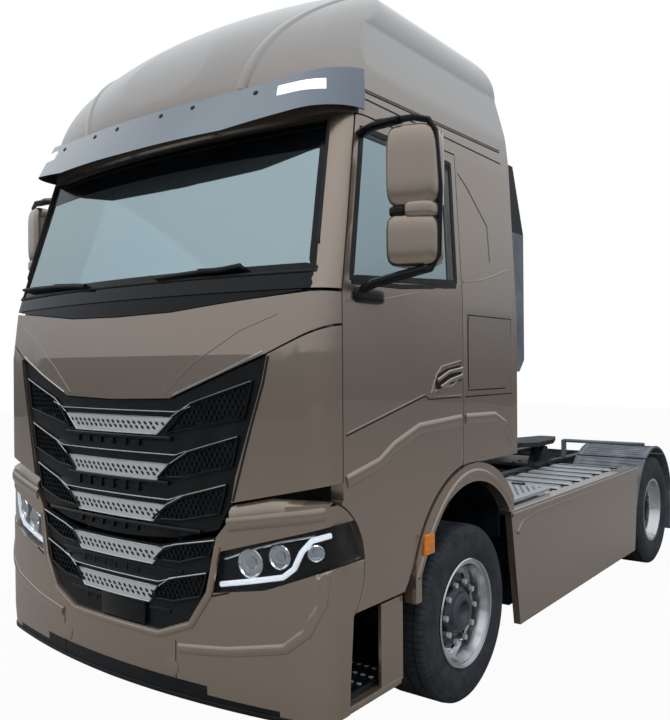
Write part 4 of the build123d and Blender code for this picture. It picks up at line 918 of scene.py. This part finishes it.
# front in lines of (x, z): windscreen border, band, seal and wipers, creases, seams and facets of the panels,
# rolls, seams and lip of the bumper, caps of the visor's lamps
cornerTree, roofTree, visorTree, screenTree = (
    treeOf(name) for name in ("corner_panels", "cab_roof", "sun_visor", "windscreen"))
frontTree = treeOf("cab_front", "windscreen", "cab_roof")
blades = [[(-1090, 2372), (-860, 2366), (-620, 2356), (-400, 2342), (-180, 2322)],
          [(110, 2322), (330, 2336), (560, 2346), (800, 2356)]]
arms = [[points[2], ((points[2][0] + points[-1][0]) / 2, 2342), points[-1]] for points in blades]
near = {"step": 20.0}
frontRows = (
    # the dark band across the top of the windscreen is partly the glass's own sun band and partly painted shade of
    # the visor
    ("sunBand", screenTree, [[(-1076, 2980), (1076, 2980)]],
     flatProfile(124, 1.4), "cab", "gloss_black", {"both": False, "lift": 0.6}),
    ("screenBorder", screenTree, [[(-1150, 2346), (1150, 2346), (1080, 3044), (-1080, 3044)]],
     flatProfile(44, 2.0), "cab", "gloss_black", {"both": False, "lift": 1.0, "closed": True}),
    ("screenSeal", frontTree, [[(-1172, 2328), (1172, 2328), (1100, 3062), (-1100, 3062)]],
     flatProfile(14, 6, 4.0), "cab", seal, {"both": False, "lift": 2.0, "closed": True}),
    ("wiperBlades", screenTree, blades,
     flatProfile(16, 20, 22.0), "cab", seal, {"both": False, "lift": 26.0, "step": 60.0}),
    ("wiperArms", screenTree, arms,
     flatProfile(22, 10, 10.0), "cab", "black_plastic", {"both": False, "lift": 44.0, "step": 60.0}),
    ("roofCreases", roofTree,
     [[(628, 3275), (650, 3345), (690, 3460), (742, 3590), (800, 3700), (852, 3780), (890, 3840)]],
     [(-58, -3), (-44, 2), (-8, 9), (8, 8), (18, 2), (24, -3)], "cab", "paint", near),
    ("grilleSides", cornerTree, [[(796, 1292), (898, 1640), (958, 1828), (984, 1952)]],
     flatProfile(10, 5), "cab", seal, {}),
    ("flapFacet", flapTree, [[(380, 1772), (560, 1915), (820, 2070), (1010, 2140)]],
     flatProfile(10, 3, 2.0), "flap", "paint", {}),
    ("grilleTopTrim", flapTree, [[(443, 1772), (700, 1866), (954, 1972)]], flatProfile(8, 5), "flap", bright, {}),
    ("lampRim", noseTree, [[(655, 838), (800, 880), (960, 918), (1200, 1006)]],
     flatProfile(8, 4, 2.0), "chassis", seal, {}),
    ("bumperBrowRoll", noseTree, [[(716, 1172), (782, 1184), (1000, 1221), (1222, 1258)]],
     [(-34, -3), (-30, 5), (-14, 11), (8, 11), (26, 6), (34, -3)], "chassis", "paint", near),
    ("bumperLipRoll", noseTree,
     [[(-708, 1080), (-660, 850), (-548, 688), (-344, 612), (344, 612), (548, 688), (660, 850), (708, 1080)]],
     [(-17, -3), (-15, 6), (-6, 12), (6, 12), (15, 6), (17, -3)], "chassis", "paint",
     {"both": False, "step": 20.0}),
    ("bumperScoop", noseTree, [[(1222, 985), (1212, 860), (1160, 742), (1060, 660), (760, 600), (470, 566)]],
     [(-26, -3), (-20, 5), (-6, 9), (6, 8), (20, 3), (26, -3)], "chassis", "paint", near),
    # painted shade: the bumper's seams are dark strips on the skin
    ("bumperSeams", noseTree, [[(452, 600), (450, 350)]], flatProfile(5, 1.2, 2.0), "chassis", gap, near),
    ("bumperLip", noseTree, [[(-1190, 342), (0, 338), (1190, 342)]],
     flatProfile(22, 6, 3.0), "chassis", "black_plastic", {"both": False}),
    ("visorLampCaps", visorTree, [[(900, 3196), (1010, 3204), (1120, 3206)]],
     [(-31, -1), (-31, 2), (-24, 6), (24, 6), (31, 2), (31, -1)], "cab", ("lamp", lightGuide), {"step": 30.0}),
)
for name, tree, lines, profile, body, look, settings in frontRows:
    addLines(name, tree, lines, profile, body, look, **settings)


# brow of the bumper above the lamps, inside the circle that the cab's tilt leaves free
# lampTop and panelFoot: x, z and slope of the edges below and above
brow = {"from": 700, "to": 1236, "step": 12, "backMm": 26, "thickMm": 14, "tiltRadius": 325.0,
        "tiltAxis": (-1360, 990), "lampTop": (782, 1212, 79 / 468), "panelFoot": (786, 1283, 101 / 464),
        "gapMm": 12, "leastMm": 8}
back, thick = brow["backMm"], brow["thickMm"]
(lampX, lampZ, lampSlope), (footX, footZ, footSlope) = brow["lampTop"], brow["panelFoot"]
tiltY, tiltZ = brow["tiltAxis"]
form = bmesh.new()
for side in (1, -1):
    rows = []
    for x in range(brow["from"], brow["to"] + 1, brow["step"]):
        lowZ = lampZ + (x - lampX) * lampSlope
        hit = onFront(noseTree, side * x, lowZ - 14)
        if hit is None:
            continue
        y = behindAxle(hit[0])
        panelZ = footZ + max(0.0, x - footX) * footSlope - brow["gapMm"]
        reach = y + back * 0.3 - tiltY
        topZ = min(panelZ, tiltZ + (brow["tiltRadius"] ** 2 - reach ** 2) ** 0.5)
        middleZ = (lowZ + topZ) / 2
        if topZ >= lowZ + brow["leastMm"]:
            section = [(0.0, lowZ - 10), (1.0, middleZ), (back, topZ), (back + thick, topZ),
                       (thick + 4, middleZ - 4), (thick, lowZ - 10)]
            rows.append([form.verts.new(spot(side * x, y + deep, z)) for deep, z in section])
    joinRings(form, rows)
addForm("bumperBrow", form, "chassis", "paint", degrees=40)

# caps over the tow eyes and screws of the visor: profile of (radius, outward), facets, places
screws = [(776, 3208), (400, 3200), (180, 3198)]
dials = {
    "towCaps": (noseTree, [(46, -3), (46, 2), (43, 3), (30, 3.5)], 32, [(420, 470), (-420, 470)], "chassis",
                "paint"),
    "visorScrews": (visorTree, [(13, -2), (13, 3), (9, 5), (3, 5)], 12,
                    [(-1000, 3215)] + [(side * x, z) for side in (-1, 1) for x, z in screws], "cab",
                    "gloss_black"),
}
for name, (tree, profile, facets, points, body, look) in dials.items():
    form = bmesh.new()
    for place, normal, turn in placesOn(tree, points, 0.0):
        dialForm(form, place, normal, profile, facets)
    addForm(name, form, body, look)
print("front trimmed")


# steps: grip bars on the treads and a painted sill under each
up = Vector((0, 0, 1))
grips = [(spot(side * (850 + column * 48), -1030 + row * 100, z), up, 25.0)
         for side in (1, -1) for z in (378, 766, 1106) for row in range(4) for column in range(7)]
addRepeated("stepGrips", grips, {"Width": 26.0, "Height": 14.0, "Depth": 5.0, "Sides": 6}, "chassis",
            ("black_plastic", finishes["plate_silver"]))
addBlocks("stepSills", bothSides([(1140, 1216, -1120, -664, 312, 350)]), "chassis", "paint", 9.0)

# rolled edges of the skirts and arches
skirtTree = treeOf("side_skirts")
skirtLines = [[(570, 962), (3228, 962)], [(650, 840), (740, 902), (900, 925), (3190, 925)]]
# through the middle of the band: a curve by three points
archCurve = {"y": (-573, -60, 537), "z": (826, 1285, 1052)}
shares = [n / 24 for n in range(25)]
archLine = [tuple(a * (1 - t) * (1 - 2 * t) + b * 4 * t * (1 - t) + c * t * (2 * t - 1)
                  for a, b, c in archCurve.values()) for t in shares]
skirtRolls = [drawOn(skirtTree, onSide, points, side=side) for side in (1, -1) for points in skirtLines]
archRolls = [drawOn(archTree, onSide, archLine, 0.0, 60.0, side=side) for side in (1, -1)]
addRibbon("skirtRolls", skirtRolls, [(-15, -3), (-12, 5), (-4, 9), (4, 9), (12, 5), (15, -3)], "chassis", "paint")
addRibbon("archRolls", archRolls, [(-22, -3), (-16, 4), (-5, 8), (5, 8), (16, 4), (22, -3)], "chassis", "paint")

# tank straps, filler cap and the perforated deck
strapPlaces = [1420 + 1640 * (n + 0.5) / 7 for n in range(7)]
straps = [(x0, x1, y - 14, y + 14, z0, z1) for x0, x1, z0, z1 in ((1158, 1174, 420, 900), (520, 1160, 984, 994))
          for y in strapPlaces]
addBlocks("tankStraps", straps, "chassis", seal, 2.0)
form = bmesh.new()
dialForm(form, spot(850, 1560, 985), up, [(52, -4), (52, 26), (48, 30), (20, 31)], 32)
addForm("fillerCap", form, "chassis", ("black_plastic", finishes["gloss_black"]))
# painted shade: the deck's perforation is dark discs on the closed deck
holes = [(column * 50 + (row % 2) * 25, 810 + row * 46) for column in range(-22, 23) for row in range(13)]
addRepeated("deckHoles", [(spot(x, y, 1022.0), up, 0.0) for x, y in holes if abs(x) < 1120],
            {"Width": 20.0, "Height": 20.0, "Depth": 1.2, "Sides": 10}, "chassis", hole)
print("deck and tank trimmed")


# mudguards: slanting ribs and edge beads that follow the arc
def guardPoint(x, turn):
    outward = Vector((0, cos(turn), sin(turn)))
    return spot(x, 3800, 508) + outward * 0.602, outward


guardRibs, guardBeads = [], []
for side in (1, -1):
    for start, end in ((10, 58), (60, 120), (122, 168)):
        count = int((end - start) / 4)
        for n in range(count):
            middle = radians(start + (n + 0.5) * (end - start) / count)
            guardRibs.append([guardPoint(side * (650 + 560 * share), middle + radians(1.6) * (share - 0.5))
                              for share in (0, 0.2, 0.4, 0.6, 0.8, 1)])
        for x in (610, 1240):
            guardBeads.append([guardPoint(side * x, radians(start + (end - start) * n / 12)) for n in range(13)])
addRibbon("mudguardRibs", guardRibs, flatProfile(12, 4, 1.5), "chassis", "grey_plastic")
addRibbon("mudguardBeads", guardBeads, flatProfile(16, 8, 1.5), "chassis", "grey_plastic")
print("mudguards trimmed")

# frame: bolt heads along the rails and the stand, air pipes clipped to a rail, couplings and boxes behind the cab
bolts = [(spot(side * 392, -1100 + n * 162, z), Vector((side, 0, 0)), 0.0)
         for side in (1, -1) for n in range(36) for z in (690, 925)]
addRepeated("frameBolts", bolts, {"Width": 24.0, "Height": 24.0, "Depth": 9.0, "Sides": 6}, "chassis", "iron")
bolts = [(spot(x, y, 979), up, 0.0) for x in (-360, -200, 200, 360) for y in (2910, 3050, 3350, 3480)]
addRepeated("standBolts", bolts, {"Width": 30.0, "Height": 30.0, "Depth": 12.0, "Sides": 6}, "chassis", "iron")
pipes = [[(spot(x, y, 938), Vector((1, 0, 0))) for y in (1400, 1900, 2740)] for x in (-180, -150, -120)]
addRibbon("airLines", pipes, roundProfile(9, 9), "chassis", seal)
addBlocks("hoopCouplings", bothSides([(315, 375, 700, 800, 1400, 1520)]), "chassis", "black_plastic", 6.0)
boxes = [(-300, -110, 800, 960, 1022, 1120), (-60, 150, 800, 960, 1022, 1100), (200, 330, 800, 980, 1022, 1120),
         (420, 640, 820, 1060, 1022, 1090), (-640, -420, 820, 1060, 1022, 1100)]
addBlocks("airDryers", boxes, "chassis", "black_plastic", 10.0)
print("frame trimmed")

# seats: plinths, cushions, backs and headrests as padded pieces, and the bunk's board and mattress
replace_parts(addBlocks("seat_plinths", [(x - 210, x + 210, -620, -200, 1410, 1702) for x in (-600, 600)], "cab",
                      "trim_inside"), "seats")
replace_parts(addBlocks("bunk_board", [(-1160, 1160, 24, 586, 1882, 1930)], "cab", "trim_inside"), "bunk")
# name, middle, half width, y and z ranges, power of the swelling, cuts of the mesh
padded = [(name + label, x, half, y0, y1, z0, z1, 5.0, 11) for x, label in ((600, "Left"), (-600, "Right"))
          for name, half, y0, y1, z0, z1 in (("seatCushion", 260, -720, -190, 1700, 1850),
                                             ("seatBack", 250, -252, -108, 1850, 2480),
                                             ("headRest", 150, -234, -126, 2480, 2700))]
padded.append(("mattress", 0, 1138, 32, 578, 1930, 2060, 6.0, 15))
for name, x, half, y0, y1, z0, z1, power, cuts in padded:
    form = bmesh.new()
    swellForm(form, x - half, x + half, y0, y1, z0, z1, power, cuts)
    addForm(name, form, "cab", "seat_cloth", degrees=60)
print("seats and bunk made")


# floor, light and camera
def addFloor():
    # pale floor, plain white to the camera beyond the soft shade under the wheels
    settings = {"size": 60.0, "height": -0.0005, "color": "#8C8986", "whiteShare": 0.965}
    mesh = bpy.data.meshes.new("floor")
    half = settings["size"] / 2
    corners = [(-half, -half), (half, -half), (half, half), (-half, half)]
    mesh.from_pydata([(x, y, settings["height"]) for x, y in corners], [], [(0, 1, 2, 3)])
    floor = bpy.data.objects.new("floor", mesh)
    scene.collection.objects.link(floor)
    material, tree, shade, coords = startMaterial("paleFloor", settings["color"], 0.9)
    mesh.materials.append(material)
    path = addNode(tree, "ShaderNodeLightPath")
    white = addNode(tree, "ShaderNodeEmission", {"Color": linearColor("#FFFFFF"), "Strength": 1.0})
    share = addMath(tree, "MULTIPLY", path.outputs["Is Camera Ray"], settings["whiteShare"])
    both = addNode(tree, "ShaderNodeMixShader", links={
        0: share, 1: shade.outputs["BSDF"], 2: white.outputs["Emission"]})
    tree.links.new(both.outputs["Shader"], tree.nodes["Material Output"].inputs["Surface"])


def addLamp(name, place, aim, size, power):
    light = bpy.data.lights.new(name, "AREA")
    light.shape = "RECTANGLE"
    light.size, light.size_y = size
    light.energy = power
    lamp = bpy.data.objects.new(name, light)
    lamp.location = place
    lamp.rotation_euler = (Vector(aim) - Vector(place)).to_track_quat("-Z", "Y").to_euler()
    lamp.visible_glossy = False
    scene.collection.objects.link(lamp)


def addWorld():
    # an overcast sky over dark ground, so that the clear coat has a horizon to mirror; white to the camera
    settings = {"strength": 0.95, "ground": "#45423F", "zenith": "#F8FAFB",
                "between": [(0.47, "#4E4B48"), (0.505, "#777B7F"), (0.6, "#C3C9CE"), (0.78, "#E8EDF0")]}
    world = bpy.data.worlds.new("studio")
    scene.world = world
    world.use_nodes = True
    tree = world.node_tree
    back = tree.nodes["Background"]
    coords = addNode(tree, "ShaderNodeTexCoord")
    split = addNode(tree, "ShaderNodeSeparateXYZ", links={"Vector": coords.outputs["Generated"]})
    height = addNode(tree, "ShaderNodeMapRange", {"From Min": -1.0}, {"Value": split.outputs["Z"]})
    ramp = addNode(tree, "ShaderNodeValToRGB", links={"Fac": height.outputs["Result"]})
    elements = ramp.color_ramp.elements
    elements[0].color, elements[1].color = linearColor(settings["ground"]), linearColor(settings["zenith"])
    for place, code in settings["between"]:
        elements.new(place).color = linearColor(code)
    tree.links.new(ramp.outputs["Color"], back.inputs["Color"])
    back.inputs["Strength"].default_value = settings["strength"]
    path = addNode(tree, "ShaderNodeLightPath")
    plain = addNode(tree, "ShaderNodeBackground", {"Color": linearColor("#FFFFFF"), "Strength": 1.0})
    both = addNode(tree, "ShaderNodeMixShader", links={
        0: path.outputs["Is Camera Ray"], 1: back.outputs["Background"], 2: plain.outputs["Background"]})
    tree.links.new(both.outputs["Shader"], tree.nodes["World Output"].inputs["Surface"])


def addCamera():
    # place in metres, azimuth to the left of straight ahead, roll and lens centre in pixels of the frame
    settings = {"place": (3.310, -5.582, 1.904), "azimuth": 37.04, "roll": -0.388, "focalPx": 775.7,
                "centerPx": (338.6, 366.1), "framePx": (670, 720)}
    camera = bpy.data.cameras.new("view")
    width, height = settings["framePx"]
    longSide = max(width, height)
    camera.sensor_width = 36.0
    camera.lens = settings["focalPx"] / longSide * camera.sensor_width
    camera.shift_x = (width / 2 - settings["centerPx"][0]) / longSide
    camera.shift_y = (settings["centerPx"][1] - height / 2) / longSide
    camera.clip_end = 200
    view = bpy.data.objects.new("view", camera)
    azimuth = radians(settings["azimuth"])
    roll = radians(settings["roll"])
    ahead = Vector((-sin(azimuth), cos(azimuth), 0))
    level = Vector((cos(azimuth), sin(azimuth), 0))
    right = level * cos(roll) + Vector((0, 0, 1)) * sin(roll)
    up = Vector((0, 0, 1)) * cos(roll) - level * sin(roll)
    turn = Matrix((right, up, -ahead)).transposed().to_4x4()
    view.matrix_world = Matrix.Translation(settings["place"]) @ turn
    scene.collection.objects.link(view)
    scene.camera = view


addFloor()
addWorld()
addLamp("keyPanel", (6.5, -7.0, 9.0), (0, -1, 1.5), (6.0, 5.0), 420)
addLamp("fillPanel", (-7.0, -8.0, 5.0), (0, -1, 1.5), (6.0, 5.0), 230)
addLamp("topPanel", (0.0, 1.0, 10.0), (0, 0, 1.0), (8.0, 8.0), 200)
addCamera()
scene.view_settings.view_transform = "Standard"
print("stage set")
